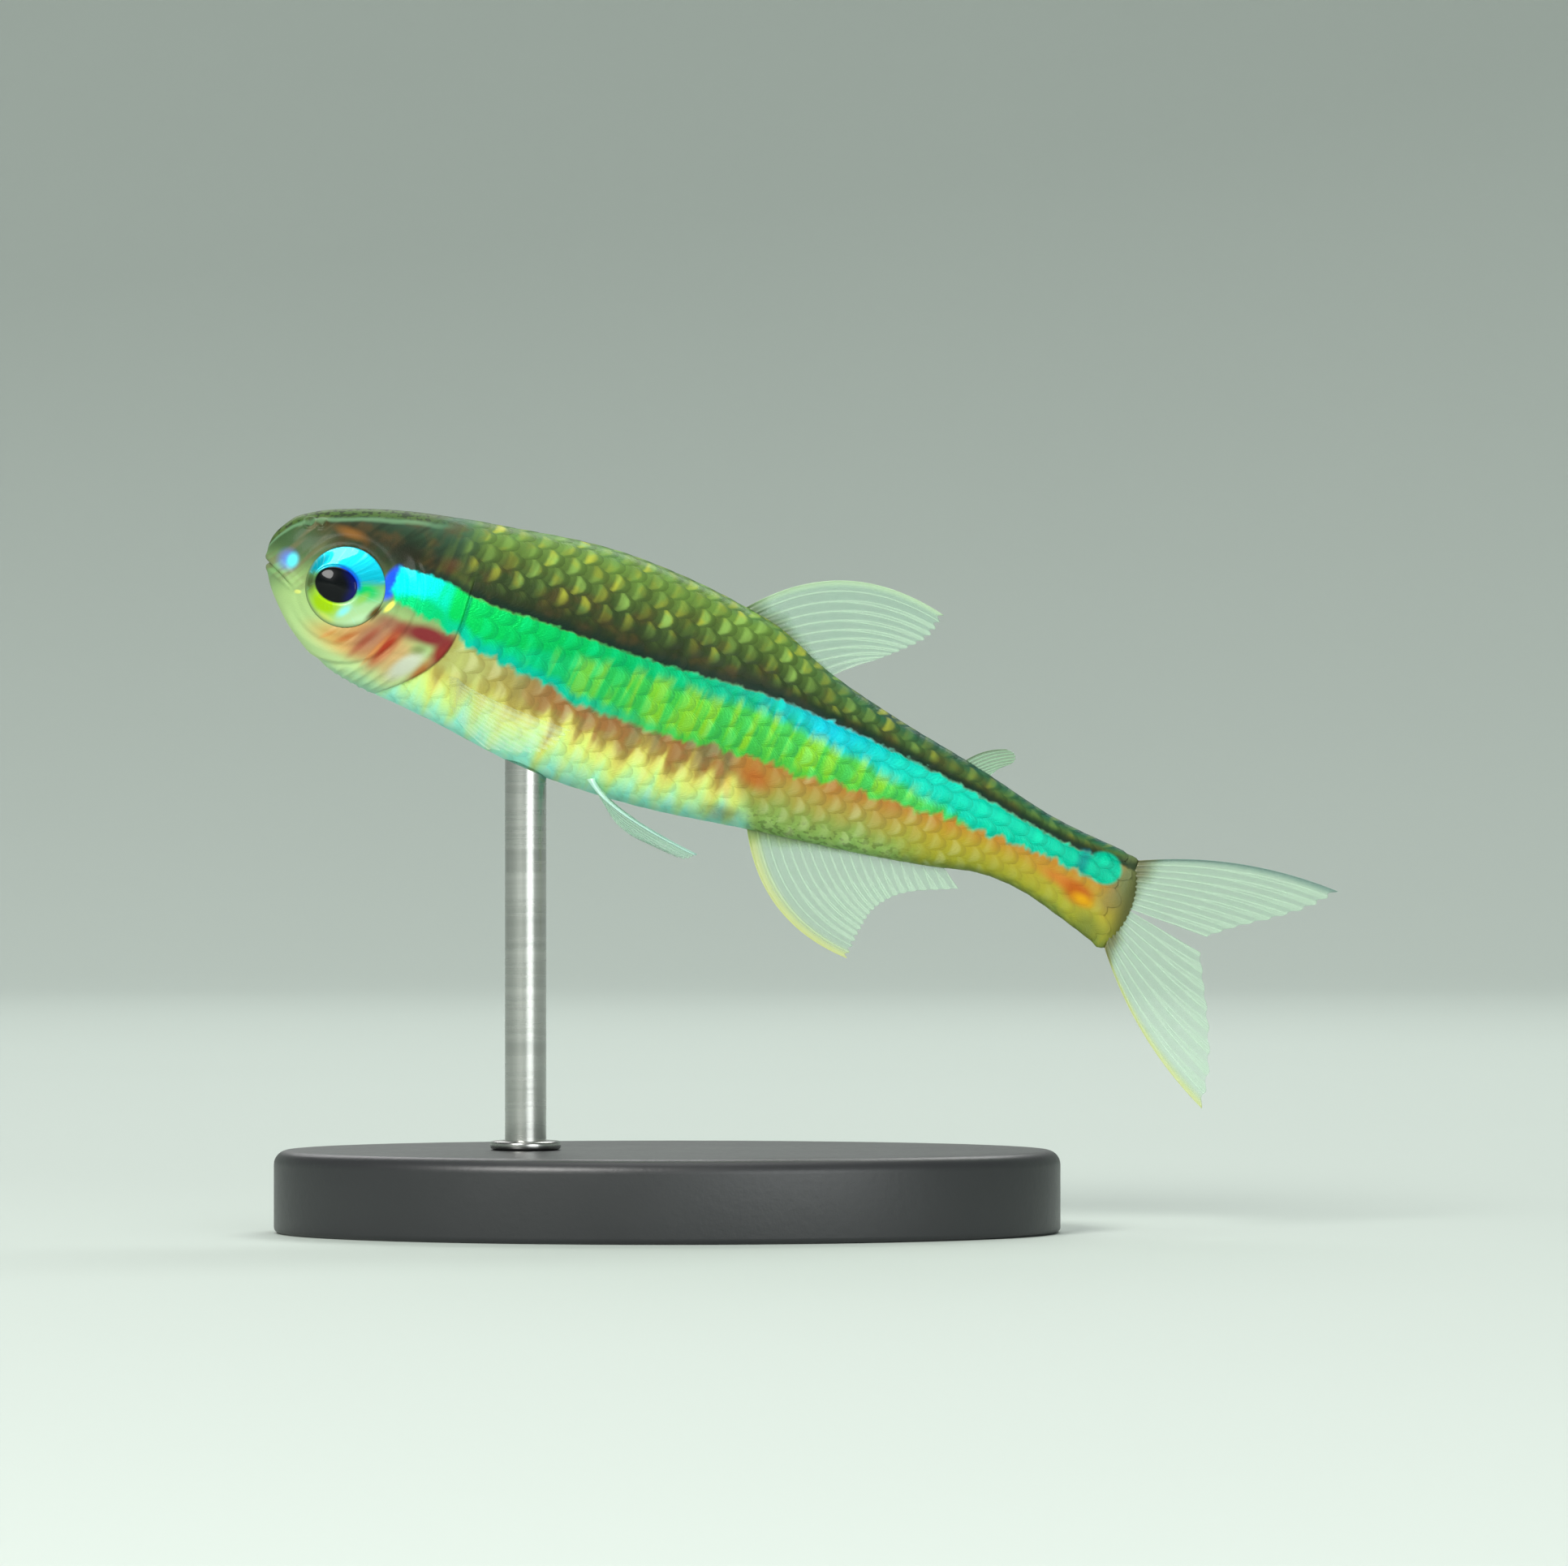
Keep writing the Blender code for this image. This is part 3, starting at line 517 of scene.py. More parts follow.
stripeTones = {
    "rampLength": 24.0,                # millimetres along the fish from 0 to 1 on the ramps
    "upper": (
        (0.125, 0, 226, 238), (0.165, 0, 222, 214), (0.20, 0, 194, 86), (0.33, 0, 170, 80),
        (0.45, 0, 164, 104), (0.51, 0, 152, 128), (0.59, 0, 172, 190), (0.68, 0, 184, 162),
        (0.78, 0, 182, 148), (0.90, 0, 166, 130),
    ),
    "lower": (
        (0.125, 0, 206, 122), (0.18, 0, 192, 110), (0.21, 0, 190, 134), (0.29, 0, 190, 120),
        (0.34, 36, 186, 86), (0.40, 66, 184, 64), (0.62, 88, 186, 54), (0.71, 70, 186, 78),
    ),
    # the stripe's scales take a bright green painted sheen
    "yellow": (134, 188, 34), "dim": (0, 148, 74), "foot": (0, 178, 152), "paintedSheen": (0, 240, 150),
    "edge": (0, 104, 76),
}


def stripeColour(f, marks):
    # the neon stripe: cyan and green above, yellow-green below, in streaks a scale apart
    tones = stripeTones
    s, streaks, aboveFoot = marks.s, marks.streaks, marks.aboveFoot
    along = f.nudge(f.maths("DIVIDE", s, tones["rampLength"]), streaks, 0.05)
    wave = f.nudge(f.nudge(marks.aboveSplit, marks.patches, 0.30), streaks, 0.30)
    lower, upper = f.ramp(along, tones["lower"]), f.ramp(along, tones["upper"])
    colour = f.mix(f.ease(wave, -0.14, 0.14), lower, upper)
    colour = f.over(
        colour, tones["yellow"], f.ease(streaks, 0.44, 0.64), f.ease(wave, 0.35, 0.0),
        f.ease(s, 6.2, 9.4), f.ease(s, 18.0, 15.8), f.ease(aboveFoot, 0.08, 0.35), 0.70,
    )
    scaled = f.ease(s, 4.9, 5.6)
    dim = f.ease(streaks, 0.52, 0.36), scaled, f.ease(wave, 0.5, 0.0), 0.4
    colour = f.over(colour, tones["dim"], *dim)
    foot = f.ease(aboveFoot, 0.36, 0.10), f.ease(s, 11.0, 7.5), f.ease(s, 4.7, 5.4), 0.85
    colour = f.over(colour, tones["foot"], *foot)
    # the painted glint on each stripe scale is screened over in bright green as a painted sheen
    colour = f.mix(f.product(marks.flash, scaled, 0.22), colour, tones["paintedSheen"], "SCREEN")
    return f.over(colour, tones["edge"], marks.rim, scaled, 0.26)


headTones = {
    "byHeight": (
        (0.0, 146, 206, 172), (0.09, 182, 212, 148), (0.22, 174, 206, 138), (0.40, 146, 178, 112),
        (0.52, 98, 124, 78), (0.64, 48, 62, 40), (0.74, 34, 44, 30), (0.86, 48, 74, 54),
        (0.97, 62, 104, 78),
    ),
    "brown": (84, 62, 34), "combs": (26, 38, 26), "nape": (94, 118, 54),
    "snout": (
        ((0.35, 0.5), (1.5, 1.0), 0, 0.9, 0.9, (60, 88, 54)),
        ((0.25, -0.5), (0.7, 0.7), 0, 0.9, 0.7, (106, 150, 98)),
        ((2.1, -0.6), (1.3, 0.95), 0, 0.5, 0.30, (150, 174, 108)),
        ((1.75, 1.04), (0.62, 0.20), 0, 0.9, 0.8, (134, 90, 38)),
        ((3.30, 1.02), (0.70, 0.40), 0, 0.9, 0.6, (34, 30, 18)),
        ((4.27, 1.18), (0.40, 0.32), 0, 0.9, 0.5, (88, 58, 36)),
    ),
    "snoutCombs": (112, 104, 74),
    "gills": (
        ((2.35, -1.46), (1.15, 0.46), -4, 0.9, 0.9, (206, 164, 88)),
        ((3.20, -1.20), (1.45, 0.76), 0, 0.7, 0.95, (188, 138, 84)),
        ((3.86, -1.44), (0.86, 0.60), 60, 0.9, 0.8, (190, 160, 108)),
        ((3.55, -0.66), (0.80, 0.34), -6, 0.8, 0.9, (140, 92, 70)),
        ((3.14, -1.10), (0.88, 0.46), 56, 0.9, 0.85, (152, 104, 84)),
        ((3.55, -1.18), (1.06, 0.27), 68, 0.9, 1.0, (156, 54, 32)),
        ((3.32, -1.38), (0.66, 0.08), 66, 0.9, 0.7, (200, 134, 72)),
        ((3.02, -1.24), (0.78, 0.14), 62, 0.9, 0.85, (150, 76, 54)),
        ((2.56, -1.34), (0.46, 0.12), 44, 0.9, 0.8, (182, 104, 50)),
        ((2.12, -1.42), (0.36, 0.08), 44, 0.9, 0.6, (204, 138, 66)),
        ((4.54, -1.46), (0.78, 0.30), 66, 0.9, 0.95, (164, 98, 46)),
        ((4.90, -0.80), (0.40, 0.70), -8, 0.7, 1.0, (134, 50, 42)),
        ((4.38, -0.58), (0.96, 0.34), 4, 0.7, 1.0, (122, 44, 46)),
    ),
    "gillArea": ((3.0, -1.25), (1.6, 0.72), 0, 0.8), "gillCombs": (226, 180, 126),
    "lights": (
        ((4.14, -1.44), (0.74, 0.28), 53, 0.7, 0.95, (188, 196, 176)),
        ((4.30, -0.97), (0.32, 0.17), 24, 0.9, 0.85, (122, 138, 84)),
        # painted shade along the eye's lower rear edge
        ((3.05, -0.53), (0.36, 0.07), 69, 0.9, 0.9, (72, 46, 22)),
        # a painted yellow-white glint behind the eye
        ((3.28, -0.26), (0.09, 0.26), -24, 0.6, 0.95, (236, 232, 104)),
        ((1.06, -0.74), (0.12, 0.07), 20, 0.6, 0.9, (214, 224, 120)),
        ((0.56, -0.10), (0.34, 0.36), 0, 0.9, 0.8, (96, 132, 226)),
        ((0.66, -0.08), (0.20, 0.26), 0, 0.8, 0.95, (92, 236, 240)),
    ),
    "crownLine": (116, 160, 118), "crown": ((70, 100, 42), (42, 60, 30)),
}


def headColour(f, marks):
    # clear snout, dark brain case, pale jaw and the red of the gills through their covers
    tones = headTones
    side, s, h = marks.side, marks.s, marks.h
    combs, depth = marks.combs, marks.depth
    above, fore = f.ease(h, 0.6, 0.9), f.ease(s, 4.3, 3.0)
    height = f.maths("DIVIDE", f.maths("ADD", h, 2.4), 4.8)
    colour = f.ramp(f.nudge(height, marks.patches, 0.10), tones["byHeight"])
    brown = f.ease(marks.patches, 0.42, 0.68), f.ease(h, 0.4, 0.8), 0.6
    colour = f.over(colour, tones["brown"], *brown)
    colour = f.over(colour, tones["combs"], f.ease(combs, 0.46, 0.66), above, 0.6)
    nape = f.ease(marks.streaks, 0.42, 0.64), f.ease(s, 3.2, 4.6), above, 0.45
    colour = f.over(colour, tones["nape"], *nape)
    colour = f.spots(colour, side, tones["snout"])
    clear = f.ease(combs, 0.44, 0.60), f.ease(s, 1.7, 0.9), f.ease(h, -0.9, -0.3), 0.6
    colour = f.over(colour, tones["snoutCombs"], *clear)
    colour = f.spots(colour, side, tones["gills"])
    gills = f.spot(side, *tones["gillArea"]), f.ease(combs, 0.50, 0.66), 0.45
    colour = f.over(colour, tones["gillCombs"], *gills)
    # spots over the gill cover, round the eye and at the nostril; among them a painted shade under the
    # eye and a painted glint behind it
    colour = f.spots(colour, side, tones["lights"])
    line = f.ease(depth, 0.18, 0.27), f.ease(depth, 0.39, 0.29), fore, 0.6
    colour = f.over(colour, tones["crownLine"], *line)
    crown = f.mix(f.ease(marks.specks, 0.48, 0.62), *tones["crown"])
    return f.over(colour, crown, f.ease(depth, 0.28, 0.16), fore, 0.9)


skinLook = {
    "shader": {
        "Coat_Weight": 0.06, "Coat_Roughness": 0.18, "Specular_IOR_Level": 0.06,
        "Subsurface_Weight": 0.06, "Subsurface_Radius": (1.0, 0.8, 0.5), "Subsurface_Scale": 0.0003,
    },
    "patches": 1.7, "specks": 7.0, "grain": 26.0,      # sizes of the noises: turns in a millimetre
    "streaks": (3.8, 0.5, 0.5), "combs": (4.5, 0.6, 0.0),
    # where the painted glint sits along each scale, and how fast it fades along and across it
    "flashAt": 0.73, "flashFall": (60.0, 1.6),         # along the scale, and along and across it
    "rings": 9.0, "ringBend": 3.0, "ringShare": 0.12, "ringTurn": 6.2832,
    "behindEye": ((3.12, 0.28), (0.26, 0.56), -6, 0.5), "behindEyeTone": (20, 84, 240),
    "lastSpot": ((21.58, 0.14), (0.50, 0.44), -8, 0.25),
    "topLine": (14, 40, 30), "gap": (6, 96, 110), "gillLine": (0, 110, 84),
    "stripeShine": 0.30, "bellyShine": 0.06, "roughness": (0.42, 0.10, 0.16),
}


def skinFinish(name):
    # one finish for skin and scales, so that both carry the same markings
    look = skinLook
    f = Finish(name, **look["shader"])
    side, fishPlace, leanPlace = f.read("sidePlace"), f.read("fishPlace"), f.read("leanPlace")
    s, h, _ = f.split(side)
    belowTop, aboveFoot, aboveSplit = f.split(f.read("stripePlace"))
    under, back, ahead = f.split(f.read("zonePlace"))
    t, q, dice = f.split(f.read("scalePlace"))
    combPlace = f.read("combPlace")
    patches = f.noise(fishPlace, look["patches"], 2.0)
    streaks = f.noise(f.stretch(leanPlace, look["streaks"]), 1.0, 1.5)
    specks = f.noise(fishPlace, look["specks"], 1.0)
    combs = f.noise(f.stretch(combPlace, look["combs"]), 1.0, 1.5)
    # a painted glint on each scale: strongest in the middle of its open part, varied from scale to scale,
    # fading out ahead of the gill opening
    inward, (fallAlong, fallAcross) = f.maths("SUBTRACT", t, look["flashAt"]), look["flashFall"]
    away = f.maths("ADD", f.product(inward, inward, fallAlong), f.product(q, q, fallAcross))
    flash = f.product(
        f.ease(away, 1.5, 0.0), f.ease(dice, 0.0, 1.0, 0.25, 1.0), f.ease(ahead, 1.0, 0.2),
        f.ease(streaks, 0.36, 0.60, 0.4, 1.0),
    )
    belowTop = f.nudge(f.nudge(belowTop, specks, 0.12), flash, 0.05, 0.3)
    aboveFoot = f.nudge(f.nudge(aboveFoot, specks, 0.12), streaks, 0.5)
    marks = SimpleNamespace(
        side=side, s=s, h=h, under=under, back=back, leaning=f.split(leanPlace)[0],
        rim=f.ease(t, 0.80, 1.0), patches=patches, streaks=streaks, specks=specks, combs=combs,
        flash=flash, belowTop=belowTop, aboveFoot=aboveFoot, aboveSplit=aboveSplit,
        depth=f.nudge(f.split(combPlace)[2], patches, 0.10),
    )

    fore = f.product(ahead, f.ease(h, 0.75, 1.15, 1.0, 0.07))
    colour = f.mix(f.ease(fore, -0.03, 0.05), flankColour(f, marks), headColour(f, marks))
    colour = f.over(colour, look["behindEyeTone"], f.spot(side, *look["behindEye"]), 0.95)
    stripe = f.product(
        f.ease(belowTop, -0.04, 0.06), f.ease(aboveFoot, -0.08, 0.10),
        f.ease(f.nudge(s, specks, 0.15), 3.10, 3.26), f.ease(s, 21.6, 21.5),
    )
    stripe = f.maths("MAXIMUM", stripe, f.spot(side, *look["lastSpot"]))
    line = f.ease(belowTop, -0.26, -0.05), f.ease(belowTop, 0.10, 0.0), f.ease(s, 3.0, 3.6), 0.75
    colour = f.over(colour, look["topLine"], *line)
    colour = f.mix(stripe, colour, stripeColour(f, marks))
    colour = f.over(
        colour, look["gap"], f.ease(s, 20.8, 21.04), f.ease(s, 21.28, 21.06),
        f.ease(aboveFoot, 0.0, 0.1), f.ease(belowTop, -0.1, 0), 0.6,
    )
    gillLine = f.ease(ahead, -0.10, -0.03), f.ease(ahead, 0.05, -0.01), stripe, 0.6
    f.set("Base Color", f.over(colour, look["gillLine"], *gillLine))
    belly = f.product(f.ease(under, 0.5, 0.8), f.ease(s, 14.0, 12.0), look["bellyShine"])
    f.set("Metallic", f.maths("MAXIMUM", f.product(stripe, look["stripeShine"]), belly))
    plain, smoother, broken = look["roughness"]
    plain = f.maths("SUBTRACT", plain, f.product(stripe, smoother))
    f.set("Roughness", f.nudge(plain, specks, broken))
    turns = f.maths("ADD", f.product(t, look["rings"]), f.product(q, q, look["ringBend"]))
    rings = f.maths("SINE", f.product(turns, look["ringTurn"]))
    grain = f.noise(fishPlace, look["grain"], 2.0, 0.6)
    f.relief(f.maths("ADD", grain, f.product(rings, look["ringShare"])), 0.000012, 0.7)
    return f.material


# Skin, with the head's forms in its own surface

headForm = {
    "eye": (2.1, -0.22), "socket": (0.955, 0.87), "socketFloor": 0.46,
    "orbitLines": ((1.08, 0.012, 0.07), (1.23, -0.01, 0.06)),       # distance from the eye, height, width
    "cheekLines": ((1.42, -0.018, 0.055), (1.85, -0.022, 0.05)),
    "plate": (1.45, 1.6, 1.75, 1.83), "plateRise": 0.035,
    "behind": (-150, -120, 25, 48),    # degrees round the eye where its lines and plate fade in and out
    "mouth": ((-0.3, -0.14), (1.0, -0.72)), "mouthDeep": 0.08, "mouthWide": 0.028,
    "lip": 0.035, "lipAt": 0.095, "lipWide": 0.06, "lipEnd": (0.02, -0.22), "closing": 0.5,
    "jawBlade": 0.030, "bladeFrom": (0.55, 0.75), "bladeEnd": 0.14, "bladeOff": (-0.05, 0.0, 0.20, 0.30),
    "nostrils": ((0.72, 0.09), (0.98, 0.08)), "nostrilAngle": 48,   # station and radius of each
    "nostrilDeep": 0.11, "nostrilPit": 0.75, "nostrilRim": 0.035, "rimOut": 0.05, "rimWide": 0.035,
    "coverRise": 0.050, "coverHigh": (-2.5, -2.1, 0.85, 1.2), "coverEdge": (-0.01, 0.06),
    "coverFrom": (1.6, 1.95), "slitDeep": 0.10, "slit": (-0.055, 0.05),
    "seam": (3.4, -1.42), "seamLean": 0.30, "seamDeep": 0.03, "seamWide": 0.035,
    "seamFrom": (1.9, 2.05), "seamEdge": (0.05, 0.15), "seamTop": (0, -0.5),
    "foldPitch": 0.26, "foldRise": 0.022, "foldLean": 0.35, "foldZero": -2.0,
    "foldTop": (-1.62, -1.85), "foldAhead": (0.1, 0.2, 1.2, 1.5),
    "rings": (250, 130), "around": 208, "crowding": 1.8, "headLength": 5.7,
    "underScales": 0.027, "sinkFrom": (0.0, 0.3), "sinkTo": (22.4, 21.9),
    "endRound": 0.22, "roundFrom": 21.5,
}


def mouthPlace(s, h):
    # along the mouth's line from its front, and square to it, upwards
    (s0, h0), (s1, h1) = headForm["mouth"]
    length = math.hypot(s1 - s0, h1 - h0)
    runS, runH = (s1 - s0) / length, (h1 - h0) / length
    return (s - s0) * runS + (h - h0) * runH, (h - h0) * runS - (s - s0) * runH, length


def headRelief(places):
    # height over the plain body: lips and the line between them, the jaw's blade, the ring round
    # the eye, cheek and gill cover plates, each a bell curve or a smooth step across its own line
    form = headForm
    s, w, h = np.moveaxis(places, -1, 0)
    along, off, length = mouthPlace(s, h)
    closing = 1 - form["closing"] * np.clip(along / length, 0, 1) ** 2
    lips = sum(bump(off, way * form["lipAt"] * closing, form["lipWide"]) for way in (1, -1))
    lips = form["lip"] * lips - form["mouthDeep"] * bump(off, 0, form["mouthWide"] * closing)
    rise = ease(along, *(length + end for end in form["lipEnd"])) * lips
    blade = window(along, *form["bladeFrom"], length, length + form["bladeEnd"])
    rise += form["jawBlade"] * blade * window(off, *form["bladeOff"])

    fromEye = s - form["eye"][0], h - form["eye"][1]
    away, turn = np.hypot(*fromEye), np.degrees(np.arctan2(*fromEye[::-1]))
    behind = window(turn, *form["behind"])
    for lines, share in (("orbitLines", 1), ("cheekLines", behind)):
        for at, height, width in form[lines]:
            rise += height * bump(away, at, width) * share
    rise += form["plateRise"] * window(away, *form["plate"]) * behind

    ahead = gillEdge(h) - s
    cover = window(h, *form["coverHigh"])
    rise += form["coverRise"] * cover * ease(ahead, *form["coverEdge"]) * ease(away, *form["coverFrom"])
    rise -= form["slitDeep"] * cover * bump(ahead, *form["slit"])
    seamS, seamH = form["seam"]
    seam = bump(h - seamH - form["seamLean"] * (s - seamS), 0, form["seamWide"])
    seam *= ease(away, *form["seamFrom"]) * ease(ahead, *form["seamEdge"]) * ease(h, *form["seamTop"])
    rise -= form["seamDeep"] * seam
    turns = (ahead - form["foldLean"] * (h - form["foldZero"])) / form["foldPitch"]
    folds = np.maximum(np.sin(2 * math.pi * turns), 0)
    folds *= ease(h, *form["foldTop"]) * window(ahead, *form["foldAhead"])
    rise += form["foldRise"] * folds
    for station, radius in form["nostrils"]:
        pit = bodyPoint(np.array(station), math.radians(form["nostrilAngle"]))
        distance = np.linalg.norm(np.stack([s, np.abs(w), h], -1) - pit, axis=-1)
        rise += form["nostrilRim"] * bump(distance, radius + form["rimOut"], form["rimWide"])
        rise -= form["nostrilDeep"] * bump(distance, 0, radius * form["nostrilPit"])
    return rise


def skinPlaces():
    # rings along the body, crowded towards the snout, lifted along their normals by the relief,
    # and pressed in to a cup round each eye
    form = headForm
    fore, aft = form["rings"]
    share = np.arange(1, fore + 1) / fore
    headEnd = form["headLength"]
    behind = np.linspace(headEnd, bodyEnd, aft + 1)[1:]
    s = np.concatenate([headEnd * share ** form["crowding"], behind])
    angle = np.linspace(-math.pi / 2, 1.5 * math.pi, form["around"], endpoint=False)
    s, angle = s[:, None], angle[None]
    places, normal = bodyPoint(s, angle), bodyNormal(s, angle)
    rise = headRelief(places)
    station, h = places[..., 0], places[..., 2]
    scaled = ease(station - scaleFront(h), *form["sinkFrom"]) * ease(s, *form["sinkTo"])
    rise -= form["underScales"] * scaled
    away = np.hypot(station - form["eye"][0], h - form["eye"][1])
    made = places + normal * rise[..., None]
    made[..., 0] -= form["endRound"] * np.sin(angle) ** 2 * ease(s, form["roundFrom"], bodyEnd)
    pressed = ease(away, *form["socket"])
    w = made[..., 1]
    floor = np.minimum(np.abs(w), form["socketFloor"])
    made[..., 1] = np.sign(w) * (np.abs(w) * (1 - pressed) + floor * pressed)
    return places, made, s[:, 0]


def scaleFront(h):
    # where the scales begin: at the gill opening, and further forwards over the nape
    return gillEdge(h) - scaleForm["napeReach"] * ease(h, *scaleForm["nape"])


def buildSkin(finish):
    places, made, s = skinPlaces()
    top, foot, _ = sectionAt(np.array([0.0, bodyEnd]))
    poles = [(0, 0, (top[0] + foot[0]) / 2), (bodyEnd + 0.01, 0, (top[1] + foot[1]) / 2)]
    points, blocks = closedTube(made, *poles, rowPlace=unrolled(s))
    marks = markPoints(np.concatenate([places.reshape(-1, 3), poles]))
    makePiece(
        "fishSkin", overStand(points), blocks, marks, finish, "trunk_skin",
        "head", "trunk", "tail", "gill_cover_left", "gill_cover_right",
    )


def unrolled(s):
    # place on the skin's unwrap of a station
    return mapEdge + (1 - 2 * mapEdge) * s / bodyEnd


# Scales

scaleForm = {
    "between": (5, 22), "pitch": (0.58, 0.48), "rowPitch": (0.45, 0.35),    # at these two stations
    "rows": 9, "first": 3.6, "last": 22.2, "firstUnder": 3.95, "lastRidge": 21.6,
    "edgeGap": 0.35, "underCover": 0.15, "nape": (0.8, 2.2), "napeReach": 0.9,
    "length": 1.9, "width": 1.62, "rootShare": 0.45,   # in pitches along and rows across
    "rootCurve": 0.16, "tipCurve": 0.42, "tipPower": 2.3,
    "rootLift": -0.024, "tipLift": 0.012, "crown": 0.015, "thick": 0.014,
    "grid": 7, "tableFrom": 3.0, "scatter": 0.001, "patch": 0.003, "seed": 7,
}


def pitchAt(name, s):
    # distance between scales at a station, from the values at two stations
    return np.interp(s, scaleForm["between"], scaleForm[name])


def girthTable(count=260, steps=160, shares=101):
    # for each station, the arc length from mid flank to the back (1) and to the belly (-1), by
    # summing steps, and the angle at even shares of that length
    s = np.linspace(scaleForm["tableFrom"], bodyEnd, count)
    angle = np.linspace(0, math.pi / 2, steps)
    tables = {"stations": s}
    for way in (1, -1):
        ring = bodyPoint(s[:, None], way * angle[None])
        step = np.linalg.norm(np.diff(ring, axis=1), axis=-1)
        arc = np.concatenate([np.zeros((count, 1)), np.cumsum(step, 1)], 1)
        even = np.linspace(0, 1, shares)
        tables[way] = (arc[:, -1], np.stack([np.interp(even, row / row[-1], angle) for row in arc]))
    return tables


def angleAtArc(tables, s, arc):
    # angle round the body at a signed arc length: straight lines between the table's entries
    stations = tables["stations"]
    place = np.clip((s - stations[0]) / (stations[1] - stations[0]), 0, len(stations) - 1.001)
    low = place.astype(int)
    share = place - low
    made = np.zeros_like(arc)
    for way in (1, -1):
        full, found = tables[way]
        want = np.abs(arc) / (full[low] * (1 - share) + full[low + 1] * share)
        at = np.clip(want, 0, 1) * (found.shape[1] - 1)
        left = np.minimum(at.astype(int), found.shape[1] - 2)
        part = at - left
        near = found[low, left] * (1 - part) + found[low, left + 1] * part
        far = found[low + 1, left] * (1 - part) + found[low + 1, left + 1] * part
        made = np.where((arc >= 0) == (way > 0), way * (near * (1 - share) + far * share), made)
    return made


def fullArc(tables, way, s):
    return np.interp(s, tables["stations"], tables[way][0])


def scaleRoots(tables):
    # rows a fixed arc apart from mid flank, every other row half a scale behind; each root has
    # its station, its arc and its size, and rows end where they would pass the back or belly
    form = scaleForm
    s, stations = form["first"], []
    while s < form["last"]:
        stations.append(s)
        s += pitchAt("pitch", s)
    stations = np.array(stations)
    halfway = (stations[1:] + stations[:-1]) / 2
    roots, ridges = [], []
    for row in range(-form["rows"], form["rows"] + 1):
        at = stations if row % 2 == 0 else halfway
        pitch = pitchAt("rowPitch", at)
        arc = row * pitch
        limit = fullArc(tables, 1 if row >= 0 else -1, at) - form["edgeGap"] * pitch
        h = bodyPoint(at, angleAtArc(tables, at, arc))[..., 2]
        keep = (np.abs(arc) < limit) & (at > scaleFront(h) - form["underCover"])
        roots.append(np.stack([at, arc, pitch], 1)[keep])
    backHeight = bodyPoint(stations, math.pi / 2)[..., 2]
    fronts = scaleFront(backHeight), form["firstUnder"]
    for way, at, front in zip((1, -1), (stations, halfway), fronts):
        arc = way * fullArc(tables, way, at)
        keep = (at > front) & (at < form["lastRidge"])
        ridges.append(np.stack([at, arc, pitchAt("rowPitch", at)], 1)[keep])
    return np.concatenate(roots), np.concatenate(ridges)


def scaleSurface(tables, roots, side):
    # each scale is a round-ended leaf bent over the body: along = root line + t * (tip line -
    # root line), across = q * half width, lifted by a slope from root to tip and a crown across
    form = scaleForm
    n = form["grid"]
    t, q = np.meshgrid(np.linspace(0, 1, n), np.linspace(-1, 1, n), indexing="ij")
    t, q = t.ravel(), q.ravel()
    rootLine = form["rootCurve"] * q**2
    tipLine = 1 - form["tipCurve"] * np.abs(q) ** form["tipPower"]
    spread = rootLine + t * (tipLine - rootLine)
    station, rootArc, rowPitch = (roots[:, i : i + 1] for i in range(3))
    s = station + (spread - form["rootShare"]) * form["length"] * pitchAt("pitch", station)
    s = np.clip(s, form["tableFrom"] + 0.05, bodyEnd - 0.02)
    arc = rootArc + 0.5 * q * form["width"] * rowPitch
    way = np.where(rootArc >= 0, 1, -1)
    full = np.where(way > 0, fullArc(tables, 1, s), fullArc(tables, -1, s))
    over = np.abs(arc) > full
    folded = np.where(over, way * (2 * full - np.abs(arc)), arc)
    angle = angleAtArc(tables, s, folded)
    turned = np.where(over, math.pi - angle, angle)
    turned = turned if side > 0 else math.pi - turned
    places, normal = bodyPoint(s, turned), bodyNormal(s, turned)
    tipShare = (spread - rootLine.min()) / (1 - rootLine.min())
    edge = (1 - (2 * t - 1) ** 4) * (1 - q**4)
    lift = form["rootLift"] + (form["tipLift"] - form["rootLift"]) * tipShare
    return places, normal, lift + form["crown"] * edge, turned, t, q


